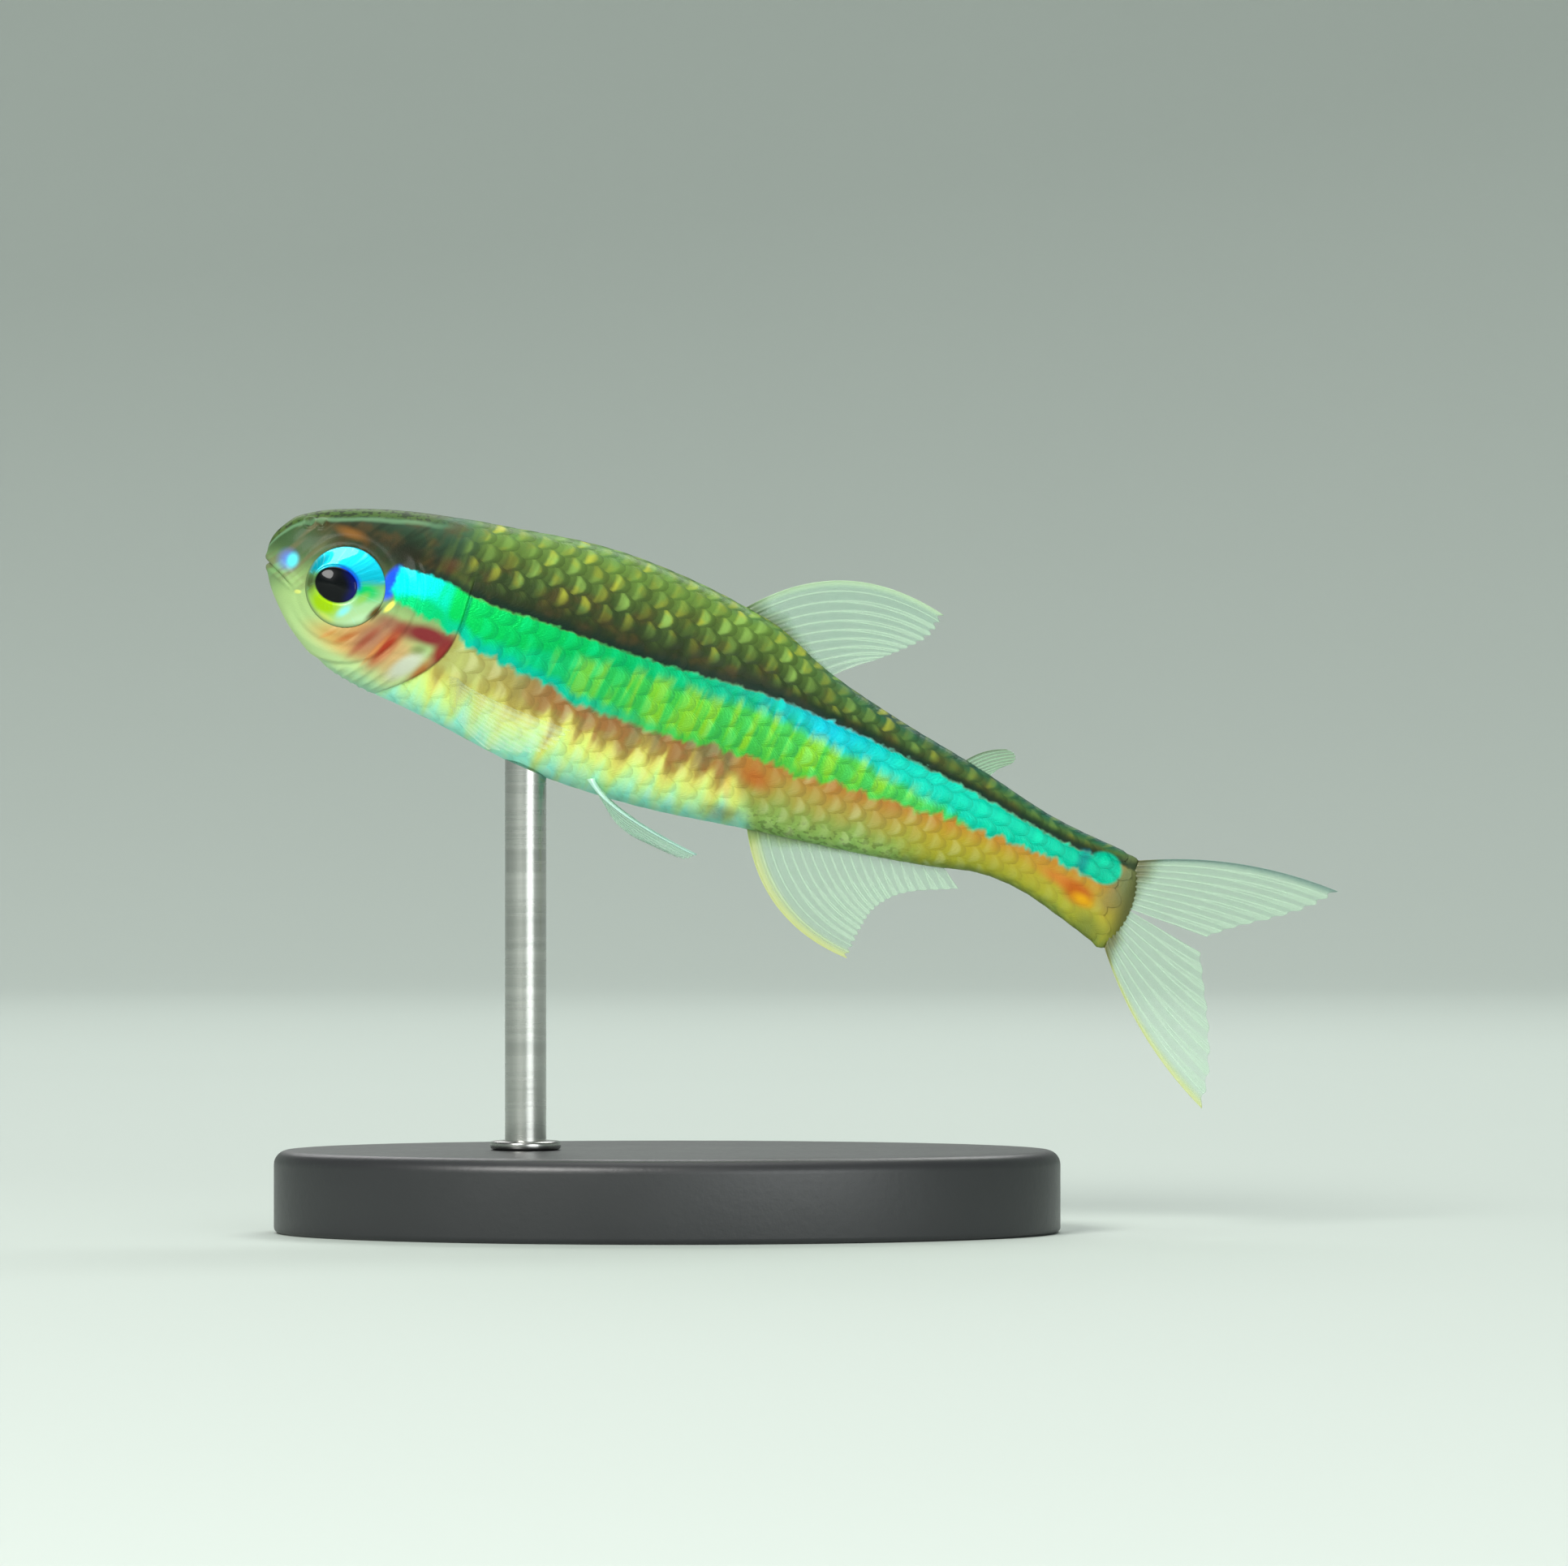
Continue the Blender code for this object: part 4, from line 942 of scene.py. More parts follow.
def buildScales(name, finish, tables, roots, side, dice):
    # upper face on a grid, underside a fan to one sunken point, both on the same rim
    form = scaleForm
    n, count = form["grid"], len(roots)
    places, normal, lift, angle, t, q = scaleSurface(tables, roots, side)
    lift = lift + dice.uniform(-0.5, 0.5, (count, 1)) * form["scatter"]
    made = places + normal * lift[..., None]
    middle = n * n // 2
    under = made[:, middle] - normal[:, middle] * form["thick"]
    points = np.concatenate([made, under[:, None]], 1)
    quads, _ = gridQuads(n, n, False)
    fan, _ = poleFan(rimOf(n, n), n * n, 0, 0)
    leaf = np.stack([np.append(t, 0.5), np.append((q + 1) / 2, 0.5)], 1)
    around = ((angle[:, middle] + math.pi / 2) % (2 * math.pi)) / (2 * math.pi)
    high = sheetEdge + (1 - 2 * sheetEdge) * around
    corner = np.stack([unrolled(places[:, middle, 0]), high], 1)
    spots = corner[:, None] + (leaf[None] - 0.5) * form["patch"]
    offsets = (np.arange(count) * (n * n + 1))[:, None, None]
    blocks = []
    for faces in (quads, fan[:, ::-1]):
        corners = faces.shape[1]
        placed = spots[:, faces].reshape(-1, corners, 2)
        blocks.append(((faces + offsets).reshape(-1, corners), placed))
    cast = np.broadcast_to(dice.uniform(0, 1, (count, 1)), (count, n * n + 1))
    leafT, leafQ = (np.broadcast_to(v, cast.shape) for v in (np.append(t, 0.5), np.append(q, 0.0)))
    flat = np.concatenate([places, places[:, middle : middle + 1]], 1).reshape(-1, 3)
    marks = markPoints(flat, np.stack([leafT, leafQ, cast], -1).reshape(-1, 3))
    makePiece(name, overStand(points.reshape(-1, 3)), blocks, marks, finish, "trunk_skin", crease=60)


# Eyes

eyeForm = {
    "radius": 0.975, "proud": 0.012, "middle": 1.22, "fall": 1.6,
    "pupil": 0.52, "pupilAt": (-0.22, -0.03), "pupilHigh": 0.80, "lens": 0.035,
    "groove": 0.02, "grooveGap": 0.03, "grooveWide": 0.035, "back": 0.5, "backTurn": 1.2,
    "rings": 60, "around": 96,
}

eyeTones = {
    "iris": ((0.05, 176, 214, 156), (0.35, 140, 200, 138), (0.55, 96, 170, 96)),
    "spots": (
        ((-0.86, 0.10), (0.46, 0.44), 0, 0.9, 0.95, (78, 92, 52)),
        ((-0.52, -0.38), (0.66, 0.50), -34, 0.7, 1.0, (160, 206, 0)),
        # a painted whitish-yellow glint low in front of the pupil
        ((-0.50, -0.76), (0.40, 0.14), -36, 0.9, 0.7, (204, 218, 96)),
        ((0.50, -0.10), (0.56, 0.34), -16, 0.8, 1.0, (12, 196, 100)),
        ((0.42, -0.30), (0.16, 0.34), -52, 0.9, 0.8, (140, 196, 80)),
        # a painted white-cyan glint below the pupil
        ((-0.04, -0.60), (0.32, 0.15), 34, 0.9, 0.95, (140, 240, 236)),
        ((0.30, -0.80), (0.50, 0.14), 22, 0.9, 0.8, (184, 222, 176)),
        # the iris's lower rear rim, golden-brown, darkened by painted shade of the socket's edge
        ((0.74, -0.62), (0.14, 0.52), -46, 0.9, 1.0, (92, 66, 20)),
    ),
    # a painted blue sheen in the iris by the pupil's rear, and a darker rim that is partly the iris's own
    # and partly painted socket shade
    "upper": (0, 166, 188), "fibres": (160, 250, 232), "inner": (0, 50, 214), "edge": (60, 72, 36),
    # the pupil is black with a painted blue sheen at its rear
    "socketSide": (116, 138, 88), "pupil": ((3, 6, 8), (2, 10, 84)),
}


def eyeFinish():
    # cyan above a line through the iris, green behind, yellow-green in front and silver below;
    # places are in eye radii from its middle, level with the floor
    tones = eyeTones
    f = Finish("wet eye", Roughness=0.30, Specular_IOR_Level=0.06, Coat_Weight=0.30, Coat_Roughness=0.03)
    place, irisPlace = f.read("eyePlace"), f.read("irisPlace")
    x, y, _ = f.split(place)
    radius = f.split(irisPlace)[2]
    fibres = f.noise(f.stretch(irisPlace, (5.0, 5.0, 0.8)), 1.6, 3.0, 0.6)
    iris = f.ramp(f.nudge(f.ease(y, -1.0, 1.0), fibres, 0.12), tones["iris"])
    iris = f.spots(iris, place, tones["spots"])
    line = f.nudge(f.maths("SUBTRACT", y, f.ease(x, -0.6, 0.2, 0.34, 0.04)), fibres, 0.22)
    iris = f.mix(f.ease(line, -0.06, 0.14), iris, tones["upper"])
    iris = f.over(iris, tones["fibres"], f.ease(fibres, 0.55, 0.7), 0.15)
    # a painted blue sheen in the iris beside the rear of the pupil
    inner = f.ease(radius, 0.68, 0.54), f.ease(x, -0.3, 0.0), f.ease(line, -0.25, 0.0), 0.9
    iris = f.over(iris, tones["inner"], *inner)
    # the iris's rim darker, most below: partly its own dark rim, partly painted shade of the socket
    iris = f.over(iris, tones["edge"], f.ease(radius, 0.95, 1.0), f.ease(y, 0.3, -0.3, 0.15, 0.5))
    forward = f.ease(f.maths("ADD", x, f.product(y, 0.7)), 0.1, -0.7)
    iris = f.over(iris, tones["socketSide"], f.ease(radius, 0.88, 1.0), forward, 0.8)
    # black pupil with a painted blue sheen at its rear
    dark, blue = tones["pupil"]
    pupil = f.over(dark, blue, f.ease(x, -0.15, 0.2), f.ease(radius, 0.2, 0.5))
    f.set("Base Color", f.mix(f.ease(radius, 0.515, 0.565), pupil, iris))
    f.set("Metallic", f.ease(radius, 0.52, 0.58, 0.0, 0.35))
    f.relief(f.product(fibres, f.ease(radius, 0.56, 0.66)), 0.000008, 0.4)
    return f.material


def sideAt(s, h):
    # how far out the head's side stands at a place: half width * (1 - up^2) to half the fullness
    top, foot, half = sectionAt(s)
    up = (h - (top + foot) / 2) / ((top - foot) / 2)
    return half * np.maximum(1 - up**2, 0) ** (fish["fullness"] / 2)


def buildEye(side, name, node, finish):
    # circles from the pupil's middle to the eye's edge, their centre sliding from the pupil to the
    # eye; depth = edge + (middle - edge) * (1 - share^fall), where the edge follows the head's side
    # all round and the lens is raised inside a groove; closed behind
    form = eyeForm
    middle = headForm["eye"]
    turn = np.linspace(0, 2 * math.pi, form["around"], endpoint=False)
    edge = sideAt(middle[0] + form["radius"] * np.cos(turn), middle[1] + form["radius"] * np.sin(turn))
    edge = edge + form["proud"]
    share = np.linspace(0, 1, form["rings"] + 1)[1:]
    radius = share * form["radius"]
    pupil = form["pupil"]
    slide = 1 - ease(radius, pupil, form["radius"])
    lens = form["lens"] * np.sqrt(np.maximum(1 - (radius / pupil) ** 2, 0))
    lens -= form["groove"] * bump(radius, pupil + form["grooveGap"], form["grooveWide"])
    fall = (1 - share ** form["fall"])[:, None]
    deep = edge + (form["middle"] - edge) * fall + lens[:, None]
    behind = np.linspace(0, 1, 9)[1:] * form["backTurn"]
    radius = np.concatenate([radius, form["radius"] * np.cos(behind)])
    deep = np.concatenate([deep, edge - (edge - form["back"]) * np.sin(behind)[:, None]])
    slide = np.concatenate([slide, np.zeros(len(behind))])
    x = radius[:, None] * np.cos(turn) + slide[:, None] * form["pupilAt"][0]
    flatter = 1 - (1 - form["pupilHigh"]) * slide[:, None]
    y = radius[:, None] * np.sin(turn) * flatter + slide[:, None] * form["pupilAt"][1]
    rings = np.stack([middle[0] + x, side * deep, middle[1] + y], -1)
    front = form["middle"] + form["lens"]
    poles = [
        (middle[0] + form["pupilAt"][0], side * front, middle[1] + form["pupilAt"][1]),
        (middle[0], side * (form["back"] - 0.01), middle[1]),
    ]
    points, blocks = closedTube(rings, *poles)
    ringShare = np.concatenate([share, np.ones(len(behind))])
    flat = np.broadcast_arrays(np.cos(turn), np.sin(turn), ringShare[:, None])
    flat = np.concatenate([np.stack(flat, -1).reshape(-1, 3), [(1, 0, 0), (1, 0, 1)]])
    s, h = ((points[:, i] - centre) / form["radius"] for i, centre in zip((0, 2), middle))
    level = np.stack([s * pitchCos + h * pitchSin, h * pitchCos - s * pitchSin, np.zeros_like(s)], 1)
    marks = {"irisPlace": flat, "eyePlace": level}
    makePiece(name, overStand(points), blocks, marks, finish, "eye", node)


# Fins

finForm = {
    "rows": 84, "perGap": 14, "web": 0.013, "webThins": 0.6, "ray": 0.034, "rayThins": 0.72,
    "rayWide": 0.045, "rayNarrows": 0.45, "strong": 1.5,
    "firstFork": (0.36, 0.70, 0.15), "secondFork": (0.68, 1.0, 0.075),
    "joint": 0.13, "jointDeep": 0.35, "jointsFrom": (0.22, 0.3), "scallop": 0.02,
    "foot": 0.085, "footReach": 0.07, "sink": 0.12, "curlFalls": (1, 0.2),
}

# a look is the finish's name, its web, ray, front edge and root tones, then how solid the web is
# and how much more solid the rays, the front edge and the root are
milk, sage = (190, 222, 192), (150, 196, 160)
fins = {
    "dorsalFin": {
        "node": ("dorsal_fin",), "line": "back", "root": (11.15, 13.70), "rays": 11, "side": 1,
        "tips": ((15.75, 4.42), (15.6, 3.8), (15.1, 3.25), (14.6, 2.8)), "bow": (0.32, 0.05),
        "curl": 0.22, "plain": 2,
        "look": ("dorsal fin", (142, 190, 160), milk, (190, 220, 178), (84, 104, 60), 0.22),
    },
    "adiposeFin": {
        "node": ("adipose_fin",), "line": "back", "root": (17.45, 18.15), "rays": 9, "side": 1,
        "tips": ((18.35, 1.96), (18.55, 1.95), (18.64, 1.82), (18.58, 1.66), (18.40, 1.54)),
        "bow": (0.18, 0.02), "curl": 0.0, "plain": 9,
        "look": ("adipose fin", (120, 152, 112), sage, (100, 126, 88), (62, 76, 44), 0.45, 0.08),
    },
    "analFin": {
        "node": ("anal_fin",), "line": "belly", "root": (13.15, 17.85), "rays": 20, "side": -1,
        "tips": ((16.6, -4.15), (16.65, -3.4), (16.8, -2.75), (17.35, -2.15), (18.5, -1.60)),
        "bow": (-0.30, 0.0), "curl": 0.12, "plain": 3,
        "look": ("anal fin", sage, milk, (206, 212, 122), (120, 144, 78), 0.20),
    },
    "tailFinUpper": {
        "node": ("caudal_fin_upper",), "edge": 0.62, "rays": 10, "curl": 0.16, "plain": 1,
        "tips": ((27.05, 1.68), (26.6, 1.12), (25.9, 0.55), (25.1, 0.0), (24.5, -0.5)),
        "bow": (0.12, 0.0),
        "look": ("upper tail fin", sage, milk, (74, 118, 112), (108, 104, 64), 0.20),
    },
    "tailFinLower": {
        "node": ("caudal_fin_lower",), "edge": -1.64, "rays": 9, "curl": 0.16, "plain": 1,
        "tips": ((25.9, -4.4), (25.75, -3.5), (25.35, -2.5), (24.9, -1.65), (24.5, -0.9)),
        "bow": (-0.12, 0.0),
        "look": ("lower tail fin", sage, milk, (200, 208, 114), (112, 108, 62), 0.20),
    },
    "pectoralFin": {
        "node": ("pectoral_fin_left", "pectoral_fin_right"), "root": ((5.25, -32), (5.50, -52)),
        "tips": ((8.45, 2.30, -1.45), (7.95, 2.30, -2.20), (6.75, 1.95, -2.60)), "rays": 11, "plain": 1,
        "look": ("pectoral fin", milk, milk, milk, (196, 206, 140), 0.06, 0.10, 0.0, 0.1),
    },
    "pelvicFin": {
        "node": ("pelvic_fin_left", "pelvic_fin_right"), "root": ((9.20, -62), (9.60, -76)),
        "tips": ((12.30, 1.10, -3.15), (12.0, 0.85, -3.35), (11.1, 0.60, -3.30)), "rays": 8, "plain": 1,
        "look": ("pelvic fin", (170, 222, 206), milk, (190, 234, 224), (176, 222, 176), 0.2),
    },
}
tailMiddle, jointGap, pairedLift, pairedSweep = -0.55, 0.3, 0.55, 0.45


def spreadTips(points, count):
    # ray tips evenly along the smooth curve through the given tips
    known, wanted = np.linspace(0, 1, len(points)), np.linspace(0, 1, count)
    lines = np.array(points, float).T
    return np.stack([smoothLine(np.column_stack([known, line]), wanted) for line in lines], 1)


def medianRays(fin):
    # roots on the back, the belly or the end of the body, and bends bowed in the fin's own plane
    count, sink = fin["rays"], finForm["sink"]
    if "line" in fin:
        s = np.linspace(*fin["root"], count)
        h = outlineAt(fish[fin["line"]], s) - fin["side"] * sink
    else:
        s = np.full(count, fish["length"])
        h = np.linspace(fin["edge"], tailMiddle, count)
    roots = np.stack([s, np.zeros(count), h], 1)
    tips = np.insert(spreadTips(fin["tips"], count), 1, 0, axis=1)
    run = tips - roots
    aside = np.stack([-run[:, 2], np.zeros(count), run[:, 0]], 1)
    bends = (roots + tips) / 2 + aside * np.linspace(*fin["bow"], count)[:, None]
    curl = fin["curl"] * np.linspace(*finForm["curlFalls"], count)
    bends[:, 1] += 0.5 * curl
    tips[:, 1] -= curl
    return roots, bends, tips


def pairedRays(fin, side):
    # roots on the flank; each ray leaves it square and then sweeps back
    s, angle = np.linspace(*fin["root"], fin["rays"]).T
    angle = np.radians(angle)
    surface, normal = bodyPoint(s, angle), bodyNormal(s, angle)
    bends = surface + (jointGap + pairedLift) * normal + (pairedSweep, 0, 0)
    mirror = (1, side, 1)
    tips = spreadTips(fin["tips"], fin["rays"])
    return (surface - finForm["sink"] * normal) * mirror, bends * mirror, tips * mirror


def finSurface(roots, bends, tips, plain):
    # x counts rays across the fin and t runs from root to tip. Each line is the curve
    # (1-t)^2 root + 2t(1-t) bend + t^2 tip of its blended ray. Rays are bell-shaped ridges that
    # fork twice, cut by joints, and the web between them thins to the edge.
    form = finForm
    count = len(roots)
    x = np.linspace(0, count - 1, (count - 1) * form["perGap"] + 1)
    k = np.minimum(x.astype(int), count - 2)
    part = (x - k)[:, None]
    a, b, c = (v[k] * (1 - part) + v[k + 1] * part for v in (roots, bends, tips))
    off = x - np.round(x)
    nearest = np.round(x).astype(int)
    t = np.linspace(0, 1, form["rows"])[None] * np.ones((len(x), 1))
    forked = np.where(nearest < plain, 0.0, 1.0)[:, None]
    first = form["firstFork"][2] * ease(t, *form["firstFork"][:2]) * forked
    second = form["secondFork"][2] * ease(t, *form["secondFork"][:2]) * forked
    reach = 1 - form["scallop"] * np.sin(math.pi * (x - np.floor(x))) ** 2
    run = (t * reach[:, None])[..., None]
    middle = (1 - run) ** 2 * a[:, None] + 2 * run * (1 - run) * b[:, None] + run**2 * c[:, None]
    spacing = np.linalg.norm(np.gradient(middle, x, axis=0), axis=-1)
    wide = form["rayWide"] * (1 - form["rayNarrows"] * t) / np.maximum(spacing, 0.02)
    ridge = np.zeros_like(t)
    for way in (-1, 1):
        for turn in (-1, 1):
            ridge = np.maximum(ridge, bump(off[:, None], way * first + turn * second, wide))
    length = np.linalg.norm(np.diff(middle, axis=1), axis=-1).sum(1)[:, None]
    joints = 0.5 + 0.5 * np.cos(2 * math.pi * t * length / form["joint"])
    cut = form["jointDeep"] * ease(joints, 0.8, 1.0) * ease(t, *form["jointsFrom"])
    height = ridge * (1 - cut)
    height *= np.where(nearest < plain, form["strong"], 1.0)[:, None]
    normal = unit(np.cross(np.gradient(middle, axis=0), np.gradient(middle, axis=1)))
    half = form["web"] * (1 - form["webThins"] * t)
    half += form["ray"] * height * (1 - form["rayThins"] * t)
    half += form["foot"] * np.exp(-t / form["footReach"])
    across = np.broadcast_to((x / (count - 1))[:, None], t.shape)
    return middle, normal, half, np.stack([across, t, ridge], -1)


def finFinish(name, web, ray, edge, root, clear, ribs=0.18, lead=0.30, rooted=0.55):
    # clear web, more solid rays, its front edge and its root in their own colours
    f = Finish(name, Roughness=0.32, Coat_Weight=0.4, Coat_Roughness=0.12)
    across, t, ridge = f.split(f.read("finPlace"))
    spotted = f.noise(f.place(), 2600.0, 2.0)
    front = f.ease(across, 0.09, 0.01)
    atRoot = f.ease(f.nudge(t, spotted, 0.10), 0.16, 0.02)
    colour = f.over(web, ray, ridge, 0.8)
    colour = f.over(colour, edge, front, 0.85)
    f.set("Base Color", f.over(colour, root, atRoot, 0.9))
    solid = clear
    for mask, share in ((ridge, ribs), (front, lead), (atRoot, rooted)):
        solid = f.maths("ADD", solid, f.product(mask, share))
    solid = f.maths("MAXIMUM", f.nudge(solid, spotted, 0.12), 0.06)
    f.set("Alpha", f.maths("MINIMUM", solid, 0.96))
    f.relief(f.noise(f.place(), 9000.0, 2.0), 0.000006, 0.5)
    return f.material


def buildFins():
    for name, fin in fins.items():
        look = finFinish(*fin["look"])
        paired = len(fin["node"]) == 2
        for node, side, word in zip(fin["node"], (-1, 1), ("Left", "Right")):
            rays = pairedRays(fin, side) if paired else medianRays(fin)
            middle, normal, half, place = finSurface(*rays, fin["plain"])
            points, blocks = closedSheet(middle, normal, half)
            marks = {"finPlace": np.concatenate([place.reshape(-1, 3)] * 2)}
            word = word if paired else ""
            makePiece(name + word, overStand(points), blocks, marks, look, "fin", node)


# Stand

standForm = {
    "around": 240, "edge": 0.35, "footEdge": 0.15, "holeGap": 0.03, "holeEdge": 0.04, "holeDeep": 1.2,
    "rodStation": 7.7, "rodRadius": 0.5, "rodChamfer": 0.08, "rodOffFloor": 0.05, "topChamfer": 0.05,
    "collarRadius": 0.85, "collarHigh": 0.22, "collarGap": 0.005, "collarRound": 0.6,
    "collarAround": 24, "rodAround": 48, "intoBelly": 0.06,
}


def rodPlace():
    # where the rod stands under the belly, and the belly's slope there, in the stand's millimetres
    s = standForm["rodStation"]
    belly = outlineAt(fish["belly"], np.array([s - 0.5, s, s + 0.5]))
    x, _, z = overStand((s, 0, belly[1])) / mm
    return x, z, math.tan(math.atan(belly[2] - belly[0]) - math.radians(fish["pitch"]))


def ovalRing(x, radius, length, width, share, z, count):
    # points that pass from a circle round x to the base's oval, as share runs from 0 to 1
    turn = np.linspace(0, 2 * math.pi, count, endpoint=False)
    circle = np.stack([x + radius * np.cos(turn), radius * np.sin(turn)], 1)
    oval = np.stack([length * np.cos(turn), width * np.sin(turn)], 1)
    flat = circle * (1 - share) + oval * share
    return np.column_stack([flat, np.full(count, z)])


def buildBase(finish):
    # one profile carried round: the hole's floor and wall, the top, a round edge, side and underside
    form = standForm
    low, high = (np.array(corner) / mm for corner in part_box("stand_base"))
    edge, footEdge, count = form["edge"], form["footEdge"], form["around"]
    (length, width, top), (x, _, _) = high, rodPlace()
    hole, floor = form["rodRadius"] + form["holeGap"], top - form["holeDeep"]
    grown = hole + form["holeEdge"]
    rings = [ovalRing(x, hole, length, width, 0, z, count) for z in (floor, top - form["holeEdge"])]
    for share in np.linspace(0, 1, 14) ** 1.4:
        rings.append(ovalRing(x, grown, length - edge, width - edge, share, top, count))
    for turn in np.linspace(0, math.pi / 2, 9)[1:]:
        inset, drop = edge * (1 - math.sin(turn)), edge * (1 - math.cos(turn))
        rings.append(ovalRing(x, 0, length - inset, width - inset, 1, top - drop, count))
    for turn in np.linspace(0, math.pi / 2, 7):
        inset, rise = footEdge * (1 - math.cos(turn)), footEdge * (1 - math.sin(turn))
        rings.append(ovalRing(x, 0, length - inset, width - inset, 1, low[2] + rise, count))
    for share in (0.8, 0.4, 0.1):
        rings.append(ovalRing(0, 0, length * share, width * share, 1, low[2], count))
    points, blocks = closedTube(np.array(rings), (x, 0, floor), (0, 0, low[2]))
    makePiece("standBase", points * mm, blocks, {}, finish, "stand_base", "stand_base", crease=35)


def turned(x, profile, count, slope=0.0):
    # a profile of (radius, z) carried round x; the last two rings lean along the slope
    turn = np.linspace(0, 2 * math.pi, count, endpoint=False)
    radius, z = np.array(profile, float).T
    ring = np.stack([np.cos(turn), np.sin(turn)], 1)
    flat = radius[:, None, None] * ring[None]
    leaning = np.zeros(len(z))
    leaning[-2:] = slope
    high = z[:, None] + leaning[:, None] * flat[..., 0]
    return np.concatenate([flat + (x, 0), high[..., None]], -1)


def buildRod(rodFinish, collarFinish):
    # the rod's profile from its foot in the hole to its leaning top, then the collar's round one
    form = standForm
    x, top, slope = rodPlace()
    top += form["intoBelly"]
    radius, chamfer, topChamfer = form["rodRadius"], form["rodChamfer"], form["topChamfer"]
    foot = baseTop - form["holeDeep"] + form["rodOffFloor"]
    straight = foot + 0.3, top - form["intoBelly"] - 1.0
    profile = [(radius - chamfer, foot), (radius, foot + chamfer)]
    profile += [(radius, z) for z in np.linspace(*straight, 10)]
    profile += [(radius, top - topChamfer), (radius - topChamfer, top)]
    rings = turned(x, profile, form["rodAround"], slope)
    points, blocks = closedTube(rings, (x, 0, foot), (x, 0, top))
    makePiece("standRod", points * mm, blocks, {}, rodFinish, "stand_rod", "stand_rod", crease=35)

    turn = np.linspace(0, 2 * math.pi, form["collarAround"] + 1)[:-1]
    cos, sin = np.cos(turn), np.sin(turn)
    gap, power = form["collarGap"], form["collarRound"]
    wide, high = (form["collarRadius"] - radius) / 2, form["collarHigh"] / 2
    profile = np.stack([
        radius + gap + wide + wide * np.sign(cos) * np.abs(cos) ** power,
        baseTop + gap + high + high * np.sign(sin) * np.abs(sin) ** power,
    ], 1)
    rings = turned(x, profile, form["rodAround"])
    faces, places = gridQuads(len(profile) + 1, form["rodAround"], True)
    blocks = [(faces % (len(profile) * form["rodAround"]), places)]
    makePiece("standCollar", rings.reshape(-1, 3) * mm, blocks, {}, collarFinish, "stand_rod")


def baseFinish():
    f = Finish("satin black base", Specular_IOR_Level=0.45, Coat_Weight=0.15, Coat_Roughness=0.3)
    place = f.place()
    cloud, grain = f.noise(place, 260.0, 3.0), f.noise(place, 5200.0, 2.0, 0.7)
    f.set("Base Color", f.mix(cloud, (34, 35, 37), (46, 47, 49)))
    f.set("Roughness", f.nudge(f.nudge(0.40, cloud, 0.14), grain, 0.10))
    f.relief(grain, 0.00001, 0.5)
    return f.material


def steelFinish(name, tone, stretch):
    # fine brushed lines run round the bar
    f = Finish(name, Metallic=1.0)
    lines = f.noise(f.stretch(f.place(), stretch), 900.0, 3.0, 0.6)
    f.set("Base Color", f.mix(lines, tone, (214, 214, 210)))
    f.set("Roughness", f.nudge(0.27, lines, 0.18))
    f.relief(lines, 0.000006, 0.5)
    return f.material


# Floor, lights and camera

def stageFinish():
    f = Finish("pale floor", Roughness=0.7, Specular_IOR_Level=0.2)
    cloud = f.noise(f.place(), 9.0, 3.0)
    f.set("Base Color", f.mix(cloud, (190, 200, 193), (196, 206, 199)))
    f.relief(f.noise(f.place(), 900.0, 2.0), 0.00005, 0.15)
    return f.material


# in metres: rings of the level part, where it starts to rise, and how far
stageForm = {"inner": (0.01, 0.1, 0.2), "level": 0.26, "rise": 0.16, "around": 96}


def buildStage():
    # a round sheet: level under the stand, and a quarter circle up all round it
    form = stageForm
    bend = np.linspace(0, math.pi / 2, 20)
    radius = np.concatenate([form["inner"], form["level"] + form["rise"] * np.sin(bend)])
    z = np.concatenate([np.zeros(len(form["inner"])), form["rise"] * (1 - np.cos(bend))])
    rings = turned(0, np.stack([radius, z], 1), form["around"])
    faces, _ = gridQuads(len(radius), form["around"], True)
    middle, _ = poleFan(np.arange(form["around"])[::-1], rings[..., 0].size, 0, 0)
    points = np.concatenate([rings.reshape(-1, 3), [(0, 0, 0)]])
    floor = addMesh("floor", points, faces.tolist() + middle.tolist(), stageFinish())


studio = {
    "aim": (0.002, 0.0, 0.012),
    "lamps": (
        ("key", (-0.13, -0.24, 0.19), 0.14, 0.95, (1.0, 0.99, 0.96)),
        ("fill", (0.14, -0.28, 0.05), 0.20, 0.45, (0.96, 0.99, 1.0)),
        ("back", (0.08, 0.18, 0.24), 0.14, 0.32, (0.97, 1.0, 0.98)),
        ("far side", (-0.06, 0.24, 0.20), 0.18, 0.20, (1.0, 1.0, 1.0)),
        ("top", (0.0, 0.0, 0.34), 0.22, 0.25, (1.0, 1.0, 1.0)),
    ),
    "sky": (0.80, 0.86, 0.84), "skyStrength": 0.20,
    "distance": 0.22, "sensor": 36.0, "clip": (0.01, 10),
}


def aimed(obj, target):
    # turns an object's -Z towards the target
    way = np.array(target) - np.array(obj.location)
    flat = math.hypot(way[0], way[1])
    obj.rotation_euler = (math.atan2(flat, -way[2]), 0, math.atan2(-way[0], way[1]))


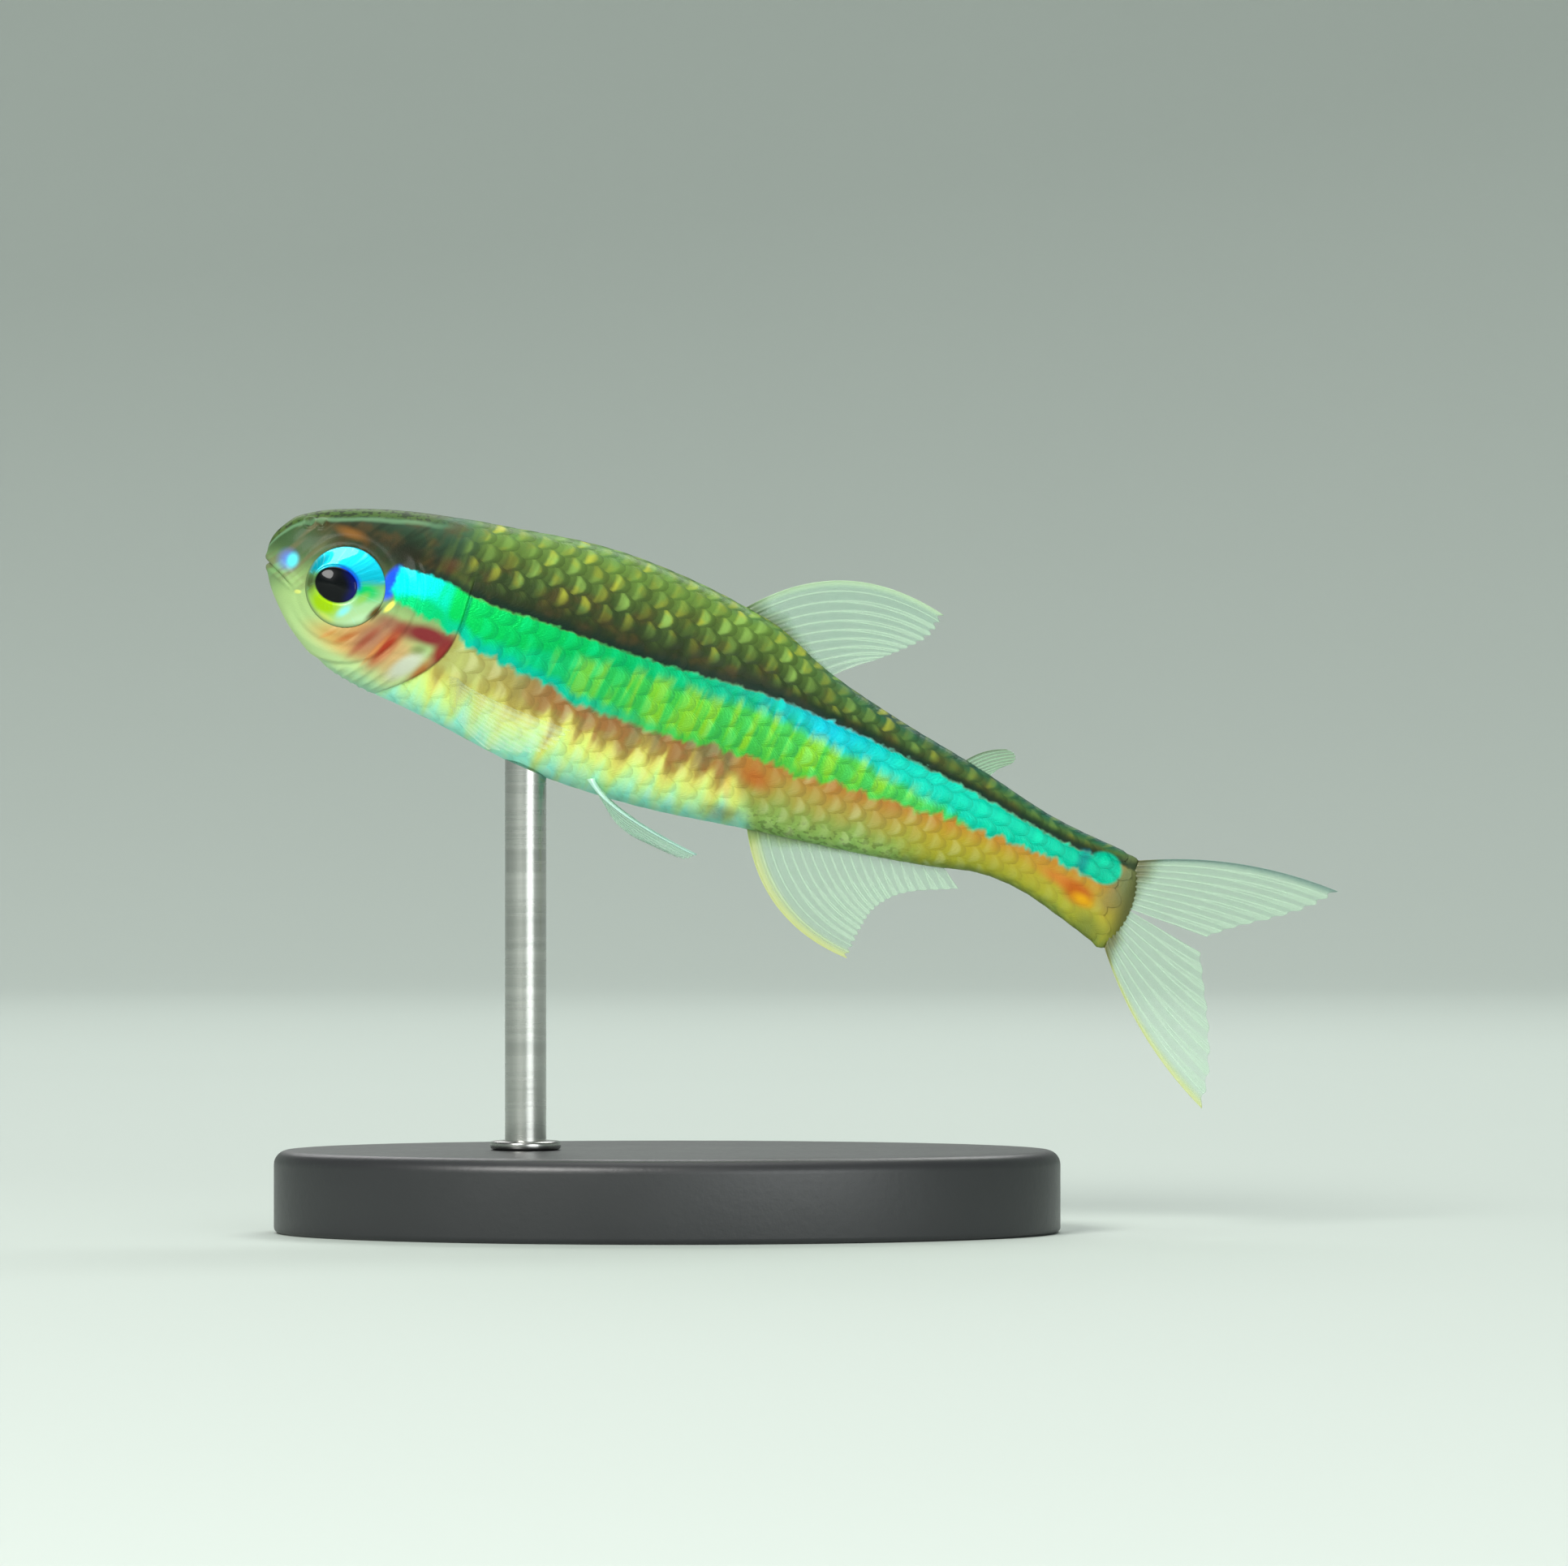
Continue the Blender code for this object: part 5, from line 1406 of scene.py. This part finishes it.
def buildLights():
    for name, place, size, power, colour in studio["lamps"]:
        lamp = bpy.data.lights.new(name, "AREA")
        lamp.shape, lamp.size, lamp.energy, lamp.color = "DISK", size, power, colour
        holder = addObject(name, lamp)
        holder.location = place
        holder.visible_camera = False
        aimed(holder, studio["aim"])
    world = bpy.data.worlds.new("studio")
    world.use_nodes = True
    sky = world.node_tree.nodes["Background"]
    sky.inputs["Color"].default_value = (*studio["sky"], 1)
    sky.inputs["Strength"].default_value = studio["skyStrength"]
    bpy.context.scene.world = world


def buildCamera():
    # level, square to the fish's left side, at the scale that the photo has
    wide = image["wide"] / image["pixelsPerMm"] * mm
    x = (image["wide"] / 2 - image["snout"][0]) / image["pixelsPerMm"] - fish["underStand"]
    z = snoutHeight - (image["high"] / 2 - image["snout"][1]) / image["pixelsPerMm"]
    lens = bpy.data.cameras.new("camera")
    lens.sensor_width = studio["sensor"]
    lens.lens = studio["sensor"] * studio["distance"] / wide
    lens.clip_start, lens.clip_end = studio["clip"]
    camera = addObject("camera", lens)
    camera.location = (x * mm, -studio["distance"], z * mm)
    camera.rotation_euler = (math.pi / 2, 0, 0)
    bpy.context.scene.camera = camera


def buildFish():
    skin, eyes = skinFinish("tetra skin"), eyeFinish()
    buildSkin(skin)
    print("skin done")
    tables = girthTable()
    roots, ridges = scaleRoots(tables)
    dice = np.random.default_rng(scaleForm["seed"])
    for side, word in ((-1, "Left"), (1, "Right")):
        for above, part in ((True, "Upper"), (False, "Lower")):
            chosen = roots[(roots[:, 1] >= -1e-9) == above]
            buildScales("scales" + word + part, skin, tables, chosen, side, dice)
    buildScales("scalesMiddle", skin, tables, ridges, 1, dice)
    print("scales done,", 2 * len(roots) + len(ridges), "scales")
    buildEye(-1, "eyeLeft", "eye_left", eyes)
    buildEye(1, "eyeRight", "eye_right", eyes)
    buildFins()
    print("eyes and fins done")


buildFish()
buildBase(baseFinish())
buildRod(
    steelFinish("brushed steel", (150, 150, 148), (0.15, 0.15, 3.0)),
    steelFinish("collar steel", (120, 120, 120), (1.0, 1.0, 3.0)),
)
print("stand done")
buildStage()
buildLights()
buildCamera()
bpy.context.scene.view_settings.view_transform = "Standard"
